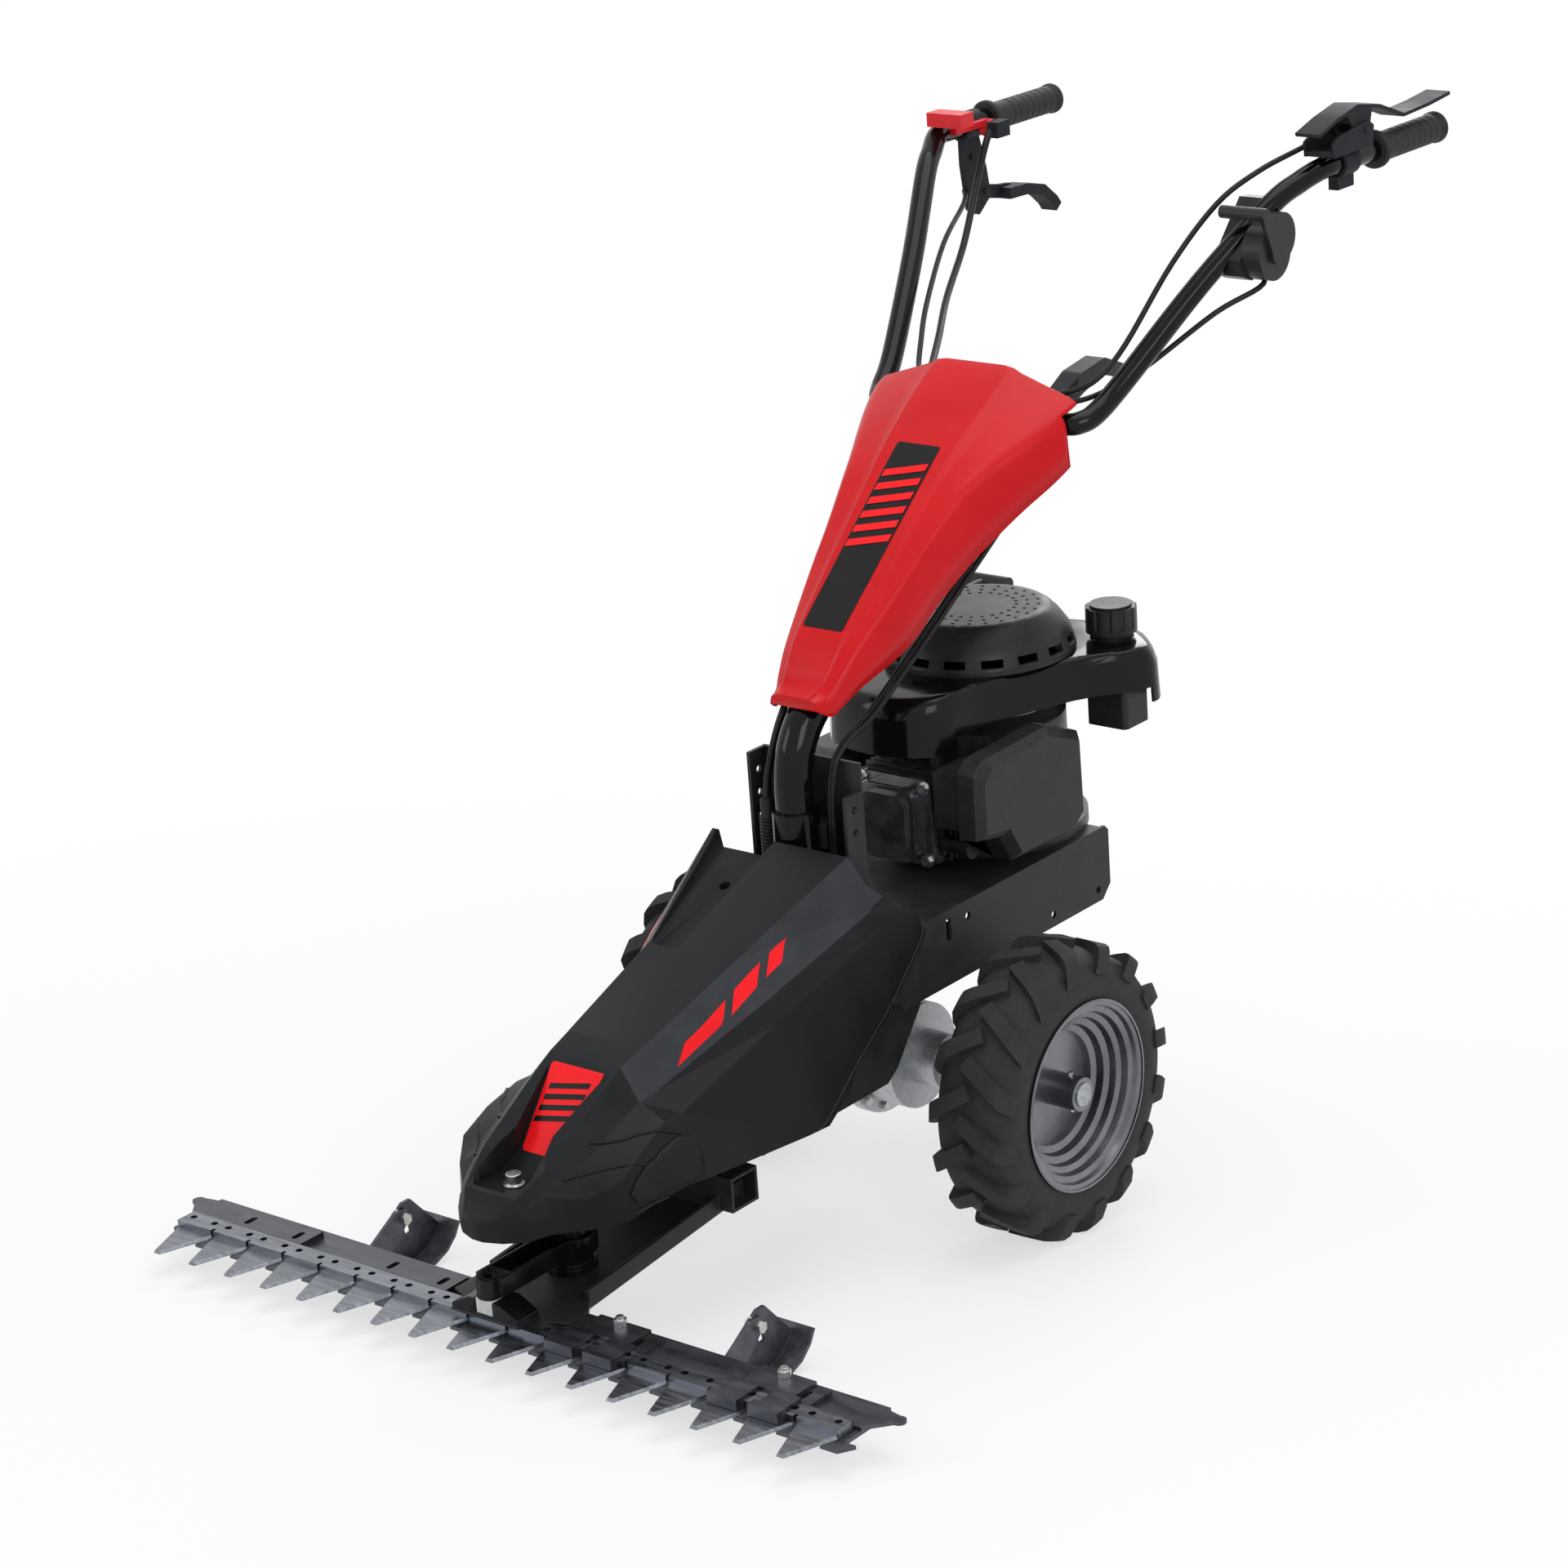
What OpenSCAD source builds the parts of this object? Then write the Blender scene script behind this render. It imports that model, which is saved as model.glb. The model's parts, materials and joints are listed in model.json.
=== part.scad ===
// Two-wheeled sickle bar mower with a handlebar, a red column cover and a front knife bar.
// Everything is drawn in the machine frame: origin at the axle centre, +X to the operator's
// left, +Y to the rear, +Z up. placed() then pitches it nose-down onto its skids.

/* [Stance] */
// Nose-down pitch of the machine when it stands on wheels and skids
pitch = 6.18; // [6:0.02:6.4]
// Outer radius of the tyres over their lugs
tyre_r = 158.5; // [157:0.5:160]

/* [Wheels] */
// Distance between the outer lips of the two rims
track = 534; // [520:1:560]
// Width of the rim over its lips
rim_w = 98; // [92:1:104]
// Radius of the rim lip
rim_r = 103; // [98:0.5:106]
// Height of a tyre lug over the carcass
lug_h = 8; // [5:0.5:10]
// Lugs in each of the two rows of a tyre
lug_n = 16; // [12:1:18]
// Outer radius of the wheel hub tube
hub_r = 18.3; // [16:0.1:20]
// Radius of the axle shaft
axle_r = 12.5; // [10:0.1:14]

/* [Knife bar] */
// Number of knife sections
tooth_n = 17; // [13:2:17]
// Spacing of the knife sections
tooth_pitch = 51.18; // [48:0.02:51.2]
// Distance from the axle to the front face of the knife back
bar_reach = 643; // [636:1:650]
// Length of a knife section in front of the knife back
tooth_len = 55; // [40:1:62]
// Thickness of a knife section
tooth_t = 3.5; // [2.5:0.1:4]
// Height of the knife back above the sections
knife_h = 6; // [4:0.5:8]
// Depth of the knife back, front to rear
knife_d = 24; // [21:0.5:25]
// Diameter of the holes in the knife back
knife_hole_d = 7.5; // [5:0.1:9]
// Level of the knife sections' underside below the axle
knife_z = 57.5; // [55:0.5:59]
// Thickness of the finger plate under the knife
comb_t = 4.2; // [3:0.1:5]
// Width of a raised pad of the finger bar
pad_w = 101; // [92:1:104]

/* [Skids] */
// Distance of a skid from the centre plane
skid_x = 235; // [225:1:240]
// Width of a skid runner
runner_w = 53; // [40:1:60]
// Thickness of the skid plates
skid_t = 4; // [3:0.1:5]

/* [Knife drive] */
// Distance from the front face of the knife back to the rocker shaft
rocker_reach = 127; // [123:1:131]
// Outer radius of the rocker shaft
rocker_r = 22; // [19:0.5:24]
// Width of the rocker arm channel
arm_w = 34; // [28:1:38]
// Radius of the knife drive shaft
drive_r = 10; // [8:0.5:11]

/* [Hood] */
// Wall of the moulded hood
hood_t = 3; // [2.5:0.1:4]

/* [Chassis] */
// Half width of the chassis over its side plates
chassis_x = 120; // [116:0.5:123]
// Thickness of the chassis plates
chassis_t = 4; // [3:0.1:5]
// Height of the chassis deck above the axle
deck_z = 190; // [188:0.5:192]
// Diameter of the bolt holes in the chassis side plates
chassis_hole_d = 8.5; // [6:0.1:10]

/* [Handle column] */
// Outer radius of the bent handle column
column_r = 20.5; // [18:0.5:22]
// Wall of the red column cover
cover_t = 3; // [2.5:0.1:4]

/* [Handlebar] */
// Outer radius of the handlebar tube
bar_r = 12; // [11:0.1:12.5]
// Height of the grips above the axle
grip_z = 874; // [860:1:880]
// Distance of the grips from the centre plane
grip_x = 258; // [250:1:265]
// Length of a grip
grip_len = 135; // [120:1:150]
// Outer radius of a grip
grip_r = 16; // [15:0.1:17]

/* [Engine] */
// Distance from the axle back to the crankshaft
crank_y = 205; // [203:1:207]
// Radius of the crankshaft
crank_r = 12.5; // [11:0.1:14]
// Radius of the engine's base flange
flange_r = 111; // [106:1:114]
// Radius of the starter dome at its base
dome_r = 107; // [100:0.5:110]
// Radius of the fuel cap
cap_r = 28; // [24:0.5:30]

/* [Hidden] */

$fn = 48;
run = 0.05;
gap = 0.3;
eps = 0.01;
through = 400;

// Levels and places that several pieces share
knife_w = tooth_n * tooth_pitch;
knife_y = -bar_reach;
tooth_top = -knife_z + tooth_t;
knife_top = tooth_top + knife_h;
comb_top = -knife_z - gap;
comb_z = comb_top - comb_t;
knife_back_y = knife_y + knife_d;
plate_y = knife_back_y + 0.7;
bar_rear_y = knife_y + 70;
plate_top = knife_top - 6.5;
bar_half = knife_w / 2 + 7;
pad_xs = [-331.5, -128.5, 128.5, 331.5];
slot_off = 34.5;
slot_y = plate_y + 14;
clip_xs = [pad_xs[2], pad_xs[3]];
clip_bolt_y = plate_y + 27;
tray_top = plate_top + 6;
rocker_y = knife_y + rocker_reach;
pin_y = knife_y + 8;
arm_len = rocker_y - pin_y;
head_z = knife_top + 2;
block_top = knife_top + 21;
drive_z = 35;
housing_r = 36;
housing_z = 10;
housing_top = 68;
lip_x = track / 2;
wheel_x = lip_x - rim_w / 2;
carcass_r = tyre_r - lug_h;
case_top = deck_z + 132;
shroud_z = deck_z + 140;
shroud_top = deck_z + 202;
dome_top = deck_z + 250;
pulley_z = deck_z - 45;
pulley_h = 20;
small_pulley_r = 36;
input_y = -22;
input_pulley_r = 64;
case_z = 125;
column_y = -122;
tilt_y = 222;
tilt_z = 650;
bar_x = 131;
cyl_x = 5;
cap_x = 108;
cap_y = crank_y + 98;
tank_top = shroud_top + 4;
filter_x = 135;
steel = "#2a2b2e";
bright = "#a9adb2";
black = "#1c1d1f";
red = "#d8232a";

// The front-most and rear-most points after pitching set the shift that centres the part
grip_end_y = 748;
lever_path = [[486, 912], [522, 922], [563, 930], [607, 922], [657, 903], [710, 905], [754, 909]];
lever_end = lever_path[len(lever_path) - 1];
front_y = (knife_y - tooth_len) * cos(pitch) + knife_z * sin(pitch);
rear_y = max(lever_end[0] * cos(pitch) - lever_end[1] * sin(pitch),
    grip_end_y * cos(pitch) - (grip_z - grip_r + 2) * sin(pitch));
axle_y = -(front_y + rear_y) / 2;

// Height of the ground in the machine frame at a given distance from the axle
function ground(y) = (-tyre_r - y * sin(pitch)) / cos(pitch);
function flat(l) = [for (a = l) for (b = a) b];
function unit(v) = v / norm(v);
// Smooth curve through hand-chosen points, n steps from each to the next
function curve(p, n) = concat([for (i = [0:len(p) - 2]) for (k = [0:n - 1])
    let (a = p[max(i - 1, 0)], b = p[i], c = p[i + 1], d = p[min(i + 2, len(p) - 1)], t = k / n)
    0.5 * (2 * b + t * (c - a) + t * t * (2 * a - 5 * b + 4 * c - d) + t * t * t * (3 * b - a - 3 * c + d))],
    [p[len(p) - 1]]);
// Points of a circular arc
function arc(c, r, a0, a1, n) = [for (i = [0:n]) c + r * [cos(a0 + (a1 - a0) * i / n),
    sin(a0 + (a1 - a0) * i / n)]];
// One symmetric ring of a moulding from the right-hand half of its section
function ring(y, half) = concat([for (p = half) [p[0], y, p[1]]],
    [for (i = [len(half) - 1:-1:0]) [-half[i][0], y, half[i][1]]]);

module placed() {
    translate([0, axle_y, tyre_r]) rotate([pitch, 0, 0]) children();
}

// Solid skinned over rings that turn right-handed about the way they advance
module skin(rings) {
    n = len(rings[0]);
    m = len(rings);
    polyhedron(flat(rings), concat([[for (j = [0:n - 1]) j], [for (j = [n - 1:-1:0]) (m - 1) * n + j]],
        [for (i = [0:m - 2]) for (j = [0:n - 1]) [i * n + j, (i + 1) * n + j, (i + 1) * n + (j + 1) % n]],
        [for (i = [0:m - 2]) for (j = [0:n - 1]) [i * n + j, (i + 1) * n + (j + 1) % n,
            i * n + (j + 1) % n]]));
}

// Round tube swept along a path that is never parallel to side
module sweep(path, r, sides = 8, side = [1, 0, 0]) {
    last = len(path) - 1;
    skin([for (i = [0:last]) let (t = unit(path[min(i + 1, last)] - path[max(i - 1, 0)]),
        u = unit(cross(side, t)), v = cross(t, u))
        [for (k = [0:sides - 1]) path[i] + r * (cos(360 * k / sides) * u + sin(360 * k / sides) * v)]]);
}

module both_sides() {
    children();
    mirror([1, 0, 0]) children();
}

// Box from its lowest and highest corners
module box(a, b) {
    translate(a) cube(b - a);
}

module along_x(x0, x1, y, z, r) {
    translate([x0, y, z]) rotate([0, 90, 0]) cylinder(r = r, h = x1 - x0);
}

module along_y(x, y0, y1, z, r) {
    translate([x, y0, z]) rotate([-90, 0, 0]) cylinder(r = r, h = y1 - y0);
}

module upright(x, y, z0, z1, r) {
    translate([x, y, z0]) cylinder(r = r, h = z1 - z0);
}

// Plate cut from a side-view outline in (y, z), between two distances from the centre plane
module side_plate(x0, x1, outline) {
    translate([x0, 0, 0]) rotate([90, 0, 90]) linear_extrude(x1 - x0) polygon(outline);
}

// Plate cut from a front-view outline in (x, z), between two distances behind the axle
module front_plate(y0, y1, outline) {
    translate([0, y1, 0]) rotate([90, 0, 0]) linear_extrude(y1 - y0) polygon(outline);
}

// Strip of even thickness laid on a side-view line
function strip(p, t) = concat(p, [for (i = [len(p) - 1:-1:0])
    let (d = unit(p[min(i + 1, len(p) - 1)] - p[max(i - 1, 0)])) p[i] + t * [-d[1], d[0]]]);

module slot_cut(x, y, len, d) {
    upright(x, y - len / 2, -through / 4, 0, d / 2);
    upright(x, y + len / 2, -through / 4, 0, d / 2);
    box([x - d / 2, y - len / 2, -through / 4], [x + d / 2, y + len / 2, 0]);
}

module hex_head(d, h) {
    cylinder(d = d, h = h, $fn = 6);
}

// Fixed bar: finger plate, rear plate with rounded ends and four slotted pads
module finger_bar() color(steel) placed() difference() {
    finger_w = 20;
    finger_len = 16;
    rear_step = 4;
    end_x = bar_half + 20;
    union() {
        translate([0, 0, comb_z]) linear_extrude(comb_t) {
            translate([-bar_half, knife_y]) square([2 * bar_half, bar_rear_y - knife_y]);
            for (i = [1:tooth_n]) translate([(i - tooth_n / 2) * tooth_pitch, knife_y])
                polygon([[-finger_w, eps], [-finger_w / 2, -finger_len], [finger_w / 2, -finger_len],
                    [finger_w, eps]]);
        }
        translate([0, 0, comb_top - eps]) linear_extrude(plate_top - comb_top + eps) {
            translate([-bar_half, plate_y]) square([2 * bar_half, bar_rear_y - plate_y]);
            for (s = [-1, 1]) polygon([[s * (bar_half - 1), plate_y], [s * end_x, bar_rear_y - 20],
                [s * end_x, bar_rear_y - 8], [s * (bar_half - 1), bar_rear_y - rear_step]]);
            for (s = [-1, 1]) translate([s * end_x, bar_rear_y - 14]) circle(r = 7);
        }
        for (x = pad_xs) box([x - pad_w / 2, plate_y, plate_top - eps],
            [x + pad_w / 2, bar_rear_y - 11, knife_top]);
    }
    for (x = pad_xs) for (s = [-1, 1]) slot_cut(x + s * slot_off, slot_y, 10, 7);
    for (x = clip_xs) upright(x, clip_bolt_y, -through / 4, 0, 4.2);
}

// Moving knife: back with two holes per section and bevelled pointed sections
module knife() color(bright) placed() difference() {
    notch_w = 4;
    notch_d = 5;
    union() {
        box([-knife_w / 2, knife_y, -knife_z], [knife_w / 2, knife_back_y, knife_top]);
        for (i = [0:tooth_n - 1]) translate([(i - (tooth_n - 1) / 2) * tooth_pitch, knife_y, 0]) tooth();
    }
    for (i = [0:tooth_n - 1]) for (s = [-1, 1])
        upright((i - (tooth_n - 1) / 2 + s * 0.3) * tooth_pitch, knife_y + 14, -through / 4, 0,
            knife_hole_d / 2);
    for (i = [1:tooth_n - 1]) translate([(i - tooth_n / 2) * tooth_pitch, knife_y, tooth_top])
        box([-notch_w / 2, -1, 0], [notch_w / 2, notch_d, through]);
}

module tooth() {
    bevel = 1.6;
    tip = 4.5;
    root = tooth_pitch / 2 - 0.7;
    skin([[[-root, 1, -knife_z], [-tip, -tooth_len, -knife_z], [tip, -tooth_len, -knife_z],
        [root, 1, -knife_z]],
        [[bevel - root, 1, tooth_top], [bevel - tip, bevel - tooth_len, tooth_top],
        [tip - bevel, bevel - tooth_len, tooth_top], [root - bevel, 1, tooth_top]]]);
}

// Forked head on the middle of the knife, on its wear plate
module knife_head() color(black) placed() {
    half = 43;
    front_plate(knife_y - 3, knife_y + 29, [[-half, head_z], [half, head_z], [half, head_z + 6],
        [20, block_top - 1], [11, block_top - 1], [11, head_z + 3], [-11, head_z + 3],
        [-11, block_top - 1], [-20, block_top - 1], [-half, head_z + 6]]);
    box([-half - 2, knife_y - 4, knife_top], [half + 2, knife_y + 30, head_z]);
}

// Sliding block in the fork, driven by the rocker arm
module slide_block() color("#d9d9d4") placed() {
    box([-10.7, pin_y - 10, head_z + 3], [10.7, pin_y + 10, block_top]);
}

// Two-fingered clips that hold the knife down in front of the pads on one side
module hold_down_clips() color(steel) placed() for (x = clip_xs) translate([x, 0, 0]) difference() {
    union() {
        box([-32, plate_y, knife_top], [32, clip_bolt_y + 8, knife_top + 4]);
        for (s = [-24.5, 24.5]) {
            box([s - 15, knife_y - 12, knife_top + gap], [s + 15, plate_y + 2, knife_top + 4]);
            box([s - 18, knife_y - 13, tooth_top + gap], [s + 18, knife_y - gap, knife_top + 6]);
        }
    }
    upright(0, clip_bolt_y, knife_top - 1, 0, 4.2);
}

// Bolts and nuts of the hold-down clips
module hold_down_bolts() color(bright) placed() for (x = clip_xs) translate([x, clip_bolt_y, 0]) {
    upright(0, 0, comb_z - 3, knife_top + 14, 4);
    translate([0, 0, comb_z - 5]) hex_head(13, 5);
    translate([0, 0, knife_top + 4]) hex_head(14, 7);
}

// Lugs under the bar that carry the skids
module skid_brackets() color(steel) placed() for (s = [-1, 1]) difference() {
    side_plate(s * skid_x + skid_t / 2, s * skid_x + 1.5 * skid_t, [[bar_rear_y - 25, comb_z],
        [skid_pivot[0] - 20, skid_pivot[1] + 1], [skid_pivot[0] - 2, skid_pivot[1] - 7.5],
        [skid_pivot[0] + 16, skid_pivot[1] - 7], [skid_clamp[0] + 9, skid_clamp[1] - 3],
        [skid_clamp[0] + 5, skid_clamp[1] + 9], [skid_clamp[0] - 11, skid_clamp[1] + 10],
        [bar_rear_y + 7, comb_z + 4], [bar_rear_y + 1, comb_z]]);
    skid_bores();
}

skid_y = knife_y + 121;
skid_low = ground(skid_y);
skid_rise = comb_z - skid_low;
skid_pivot = [knife_y + 83, skid_low + 0.66 * skid_rise];
nose_rise = skid_rise - 2 * skid_t;
skid_turn = 50;
skid_clamp = skid_pivot + skid_turn * [cos(35), sin(35)];
runner_path = [[skid_y - 78, skid_low + nose_rise], [skid_y - 56, skid_low + 0.58 * nose_rise],
    [skid_y - 30, skid_low + 0.18 * nose_rise], [skid_y - 14, skid_low + 0.06 * nose_rise],
        [skid_y, skid_low], [skid_y + 22, skid_low], [skid_y + 41, skid_low + 7],
    [skid_y + 55, skid_low + 19], [skid_y + 63, skid_low + 33]];

module skid_bores() {
    for (p = [skid_pivot, skid_clamp]) along_x(-through, through, p[0], p[1], 4.2);
}

// Skid: bent runner with a triangular plate, swung about its front pivot and clamped in an arc slot
module skid_runners() color(steel) placed() for (s = [-1, 1]) difference() {
    union() {
        side_plate(s * skid_x - runner_w / 2, s * skid_x + runner_w / 2, strip(runner_path, skid_t));
        side_plate(s * skid_x - skid_t / 2, s * skid_x + skid_t / 2, [[skid_pivot[0] - 12,
            skid_pivot[1] - 8],
            [skid_y - 28, skid_low + 7], [skid_y, skid_low + 2], [skid_y + 22, skid_low + 2],
            [skid_y + 40, skid_low + 9], [skid_y + 58, skid_low + 26], [skid_y + 19, skid_low + 70],
            [skid_y + 7, skid_low + 70], [skid_pivot[0] - 10, skid_pivot[1] + 9]]);
    }
    along_x(-through, through, skid_pivot[0], skid_pivot[1], 4.2);
    side_plate(s * skid_x - skid_t, s * skid_x + skid_t, concat(arc(skid_pivot, skid_turn - 4.2, 8, 46, 8),
        arc(skid_pivot, skid_turn + 4.2, 46, 8, 8)));
}

// Pivot and clamp bolts of the skids
module skid_bolts() color(bright) placed() for (s = [-1, 1]) for (p = [skid_pivot, skid_clamp])
    translate([s * skid_x, p[0], p[1]]) rotate([0, 90, 0]) {
        translate([0, 0, -skid_t]) cylinder(r = 4, h = 3 * skid_t);
        translate([0, 0, -skid_t / 2 - 5]) hex_head(13, 5);
        translate([0, 0, 1.5 * skid_t]) hex_head(13, 6);
    }

// Carrier tray: front plate on the bar, lipped channel rising to the rear, cross tube and upright
tray_x = 66;
tray_rear_y = -322;
tray_fold_y = bar_rear_y + 7;
tray_rise = 24;
cross_y = -330;
cross_z = plate_top + tray_rise;
cross_top = cross_z + 38;

// Side view of the channel floor, h above its underside
function tray_floor(h) = [[tray_fold_y, plate_top + h], [tray_rear_y, cross_z + h]];

module carrier_tray() color(steel) placed() difference() {
    sheet = tray_top - plate_top;
    union() {
        translate([0, 0, plate_top]) linear_extrude(sheet)
            polygon([[-52, plate_y], [52, plate_y], [76, plate_y + 10], [76, bar_rear_y - 6],
                [tray_x, tray_fold_y + eps],
                [-tray_x, tray_fold_y + eps], [-76, bar_rear_y - 6], [-76, plate_y + 10]]);
        side_plate(-tray_x, tray_x, concat(tray_floor(0), [tray_floor(sheet)[1], tray_floor(sheet)[0]]));
        both_sides() side_plate(tray_x - 6, tray_x, concat(tray_floor(1), [tray_floor(sheet + 14)[1],
            tray_floor(sheet + 14)[0]]));
        difference() {
            box([-84, tray_rear_y - 42, cross_z], [84, tray_rear_y, cross_top]);
            box([-90, tray_rear_y - 38, cross_z + 4], [90, tray_rear_y - 4, cross_top - 4]);
        }
        box([-60, cross_y - 4, cross_top - 2], [60, cross_y, drive_z + 32]);
        both_sides() side_plate(54, 60, [[tray_rear_y - 42, cross_top - 2], [cross_y - 3, cross_top - 2],
            [cross_y - 3, drive_z + 20]]);
    }
    along_y(0, cross_y - 40, cross_y + 20, drive_z, 25.3);
}

// Foot bearing of the rocker shaft with its fixed pivot pin, seated on the sloping floor
bearing_top = tray_top + 14;

module rocker_bearing() color(steel) placed() difference() {
    translate([0, rocker_y, 0]) {
        upright(0, 0, plate_top, bearing_top - 3, 26);
        upright(0, 0, bearing_top - 4, bearing_top, 22);
        upright(0, 0, bearing_top - 1, -4, 11);
    }
    side_plate(-tray_x, tray_x, concat(tray_floor(-20), [tray_floor(tray_top - plate_top)[1],
        tray_floor(tray_top - plate_top)[0]]));
}

// Upright rocker shaft: bored journal below, reduced journal in the drive housing above
module rocker_shaft() color(black) placed() translate([0, rocker_y, 0]) difference() {
    union() {
        upright(0, 0, bearing_top + gap, housing_z - gap, rocker_r);
        upright(0, 0, housing_z - 1, housing_top - 18, 14 - run);
    }
    upright(0, 0, tray_top, -3, 11 + run);
}

// Channel-section rocker arm with its hub ring and pin eye
arm_z = block_top + 2;
arm_h = 20;

module rocker_arm() color(black) placed() difference() {
    union() {
        box([-arm_w / 2, pin_y, arm_z], [arm_w / 2, rocker_y, arm_z + arm_h]);
        upright(0, rocker_y, arm_z, arm_z + arm_h, rocker_r + 6);
        upright(0, pin_y, block_top + 0.5, arm_z + arm_h, 13);
    }
    box([4 - arm_w / 2, pin_y + 18, arm_z + 4], [arm_w / 2 - 4, rocker_y, arm_z + arm_h + 1]);
    upright(0, rocker_y, arm_z - 1, arm_z + arm_h + 1, rocker_r + run);
    upright(0, pin_y, arm_z + 4, arm_z + arm_h + 1, 5);
}

// Knife drive housing with the tube that carries it from the gearbox
module knife_drive_housing() color("#3a3b3d") placed() difference() {
    union() {
        upright(0, rocker_y, housing_z, housing_top, housing_r);
        along_y(0, rocker_y, gearbox_front, drive_z, 25);
        along_y(0, gearbox_front - 6, gearbox_front, drive_z, 35);
        box([-14, hood_bolt_y - 13, 40], [14, rocker_y, hood_floor - hood_t - 0.5]);
    }
    upright(0, rocker_y, housing_z - 1, housing_top - 14, 14);
    along_y(0, rocker_y + 18, gearbox_front + 1, drive_z, drive_r + 4);
    upright(0, hood_bolt_y, 30, housing_top + 20, 3.2);
}

// Shaft from the gearbox to the eccentric inside the drive housing
module knife_drive_shaft() color(bright) placed() {
    along_y(0, rocker_y + 19, -42, drive_z, drive_r);
    along_y(0, rocker_y + 20, rocker_y + 32, drive_z, drive_r + 3);
}

// Moulded hood: stations along the machine, each with the right-hand half of its section
hood_bolt_y = rocker_y - 71;
hood_floor = 73;
hood_rows = [
    [rocker_y - 129, [[4, 57], [6, 54], [7, 50], [7, 36]]],
    [rocker_y - 122, [[20, 64], [24, 58], [26, 50], [26, 36]]],
    [rocker_y - 106, [[33, 76], [41, 66], [45, 52], [45, 36]]],
    [rocker_y - 84, [[40, 89], [52, 76], [57, 60], [57, 38]]],
    [rocker_y - 59, [[45, 103], [60, 88], [84, 72], [86, 40]]],
    [rocker_y - 29, [[45, 120], [66, 102], [105, 85], [109, 42]]],
    [rocker_y + 6, [[45, 141], [68, 118], [103, 103], [116, 50]]],
    [rocker_y + 46, [[46, 162], [67, 130], [98, 116], [124, 55]]],
    [rocker_y + 76, [[48, 171], [67, 132], [94, 112], [128, 52]]],
    [-296, [[57, 217], [90, 178], [103, 157], [133, 40]]],
    [-145, [[91, 287], [110, 228], [127, 214], [133, 30]]],
    [-70, [[103, 320], [116, 262], [131, 230], [133, 20]]]];
hood_rear = [[-157, 340], [-152, 288], [-141, 252], [-112, 224], [-91, 207], [-82, 184], [-122, 142],
    [-219, 57],
    [-263, 37], [-300, 33], [-300, -50], [0, -50], [0, 340]];

function block_ring(y, x0, x1, z0, z1) = [[x1, y, z1], [x1, y, z0], [x0, y, z0], [x0, y, z1]];

// Pocket beside the cable, in the right-hand half of the rear top
module hood_pocket(g) {
    skin([block_ring(-302 - g, -54 - g, -20 + g, 207 - g, 400),
        block_ring(-145, -82 - g, -6 + g, 262 - g, 400),
        block_ring(-60, -97 - g, 3 + g, 294 - g, 400)]);
}

// Sunk front panel that runs down to the hood bolt
module hood_recess(g) {
    steps = [[-101 - g, 26, hood_floor], [-84, 34, hood_floor], [-56, 30, hood_floor], [-36, 24, 88],
        [38, 37, 160],
        [43 + g, 37, 178]];
    skin([for (p = steps) block_ring(rocker_y + p[0], -p[1] - g, p[1] + g, p[2] - g, 400)]);
}

module hood() color("#26272a") placed() difference() {
    skin([for (r = hood_rows) ring(r[0], r[1])]);
    difference() {
        skin([for (i = [1:len(hood_rows) - 1]) let (r = hood_rows[i])
            ring(r[0] + (i == 1 ? hood_t : i == len(hood_rows) - 1 ? 5 : 0), [for (k = [0:3])
                [r[1][k][0] - hood_t, k == 3 ? 0 : r[1][k][1] - hood_t]])]);
        hood_pocket(hood_t);
        hood_recess(hood_t);
    }
    hood_pocket(0);
    hood_recess(0);
    side_plate(-150, 150, hood_rear);
    upright(0, hood_bolt_y, 40, 120, 3.2);
    upright(-40, -196, 200, 300, 6);
    upright(0, column_y, 0, through, sleeve_r + gap);
}

// Knurled knob bolt that holds the front of the hood
module hood_bolt() color(bright) placed() translate([0, hood_bolt_y, 0]) {
    upright(0, 0, 44, hood_floor + 2, 3);
    upright(0, 0, hood_floor, hood_floor + 12, 8);
    upright(0, 0, hood_floor, hood_floor + 2, 11);
}

// Welded chassis: two side plates, engine deck, gearbox plate and cross plates
module chassis_frame() color(steel) placed() {
    in_x = chassis_x - chassis_t;
    leg_x = 100;
    plate_z = case_z - 4;
    both_sides() difference() {
        side_plate(in_x, chassis_x, [[-150, deck_z], [-150, 140], [-110, 107], [248, 107], [263, 122],
            [263, deck_z - 6], [257, deck_z]]);
        for (p = [[4, 172], [156, 121], [240, 121]]) along_x(in_x - 1, chassis_x + 1, p[0], p[1],
            chassis_hole_d / 2);
        box([in_x - 1, -34, 156], [chassis_x + 1, -26, 180]);
    }
    both_sides() side_plate(leg_x - chassis_t, leg_x, [[-146, deck_z - eps], [-219, 130], [-330, 72],
        [-330, 24],
        [-122, 24], [-104, 36], [-60, 90], [-60, deck_z - eps]]);
    difference() {
        box([-in_x - eps, -146, deck_z - chassis_t], [in_x + eps, 252, deck_z]);
        upright(0, crank_y, 0, through, 60);
    }
    difference() {
        box([-in_x - eps, -62, plate_z], [in_x + eps, 75, case_z]);
        upright(0, input_y, 0, through, 24);
    }
    difference() {
        box([-leg_x, cross_y, 24], [leg_x, cross_y + 4, 72]);
        along_y(0, cross_y - 10, cross_y + 20, drive_z, 25.3);
    }
    box([-in_x - eps, 248, 107], [in_x + eps, 252, deck_z]);
}

// Cast gearbox: split flange on the centre plane, input neck, knife drive neck
gearbox_front = -80;
seam_r = 72;
seam_bolts = [for (a = [-165:30:-15]) 64 * [cos(a), sin(a)]];

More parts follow.
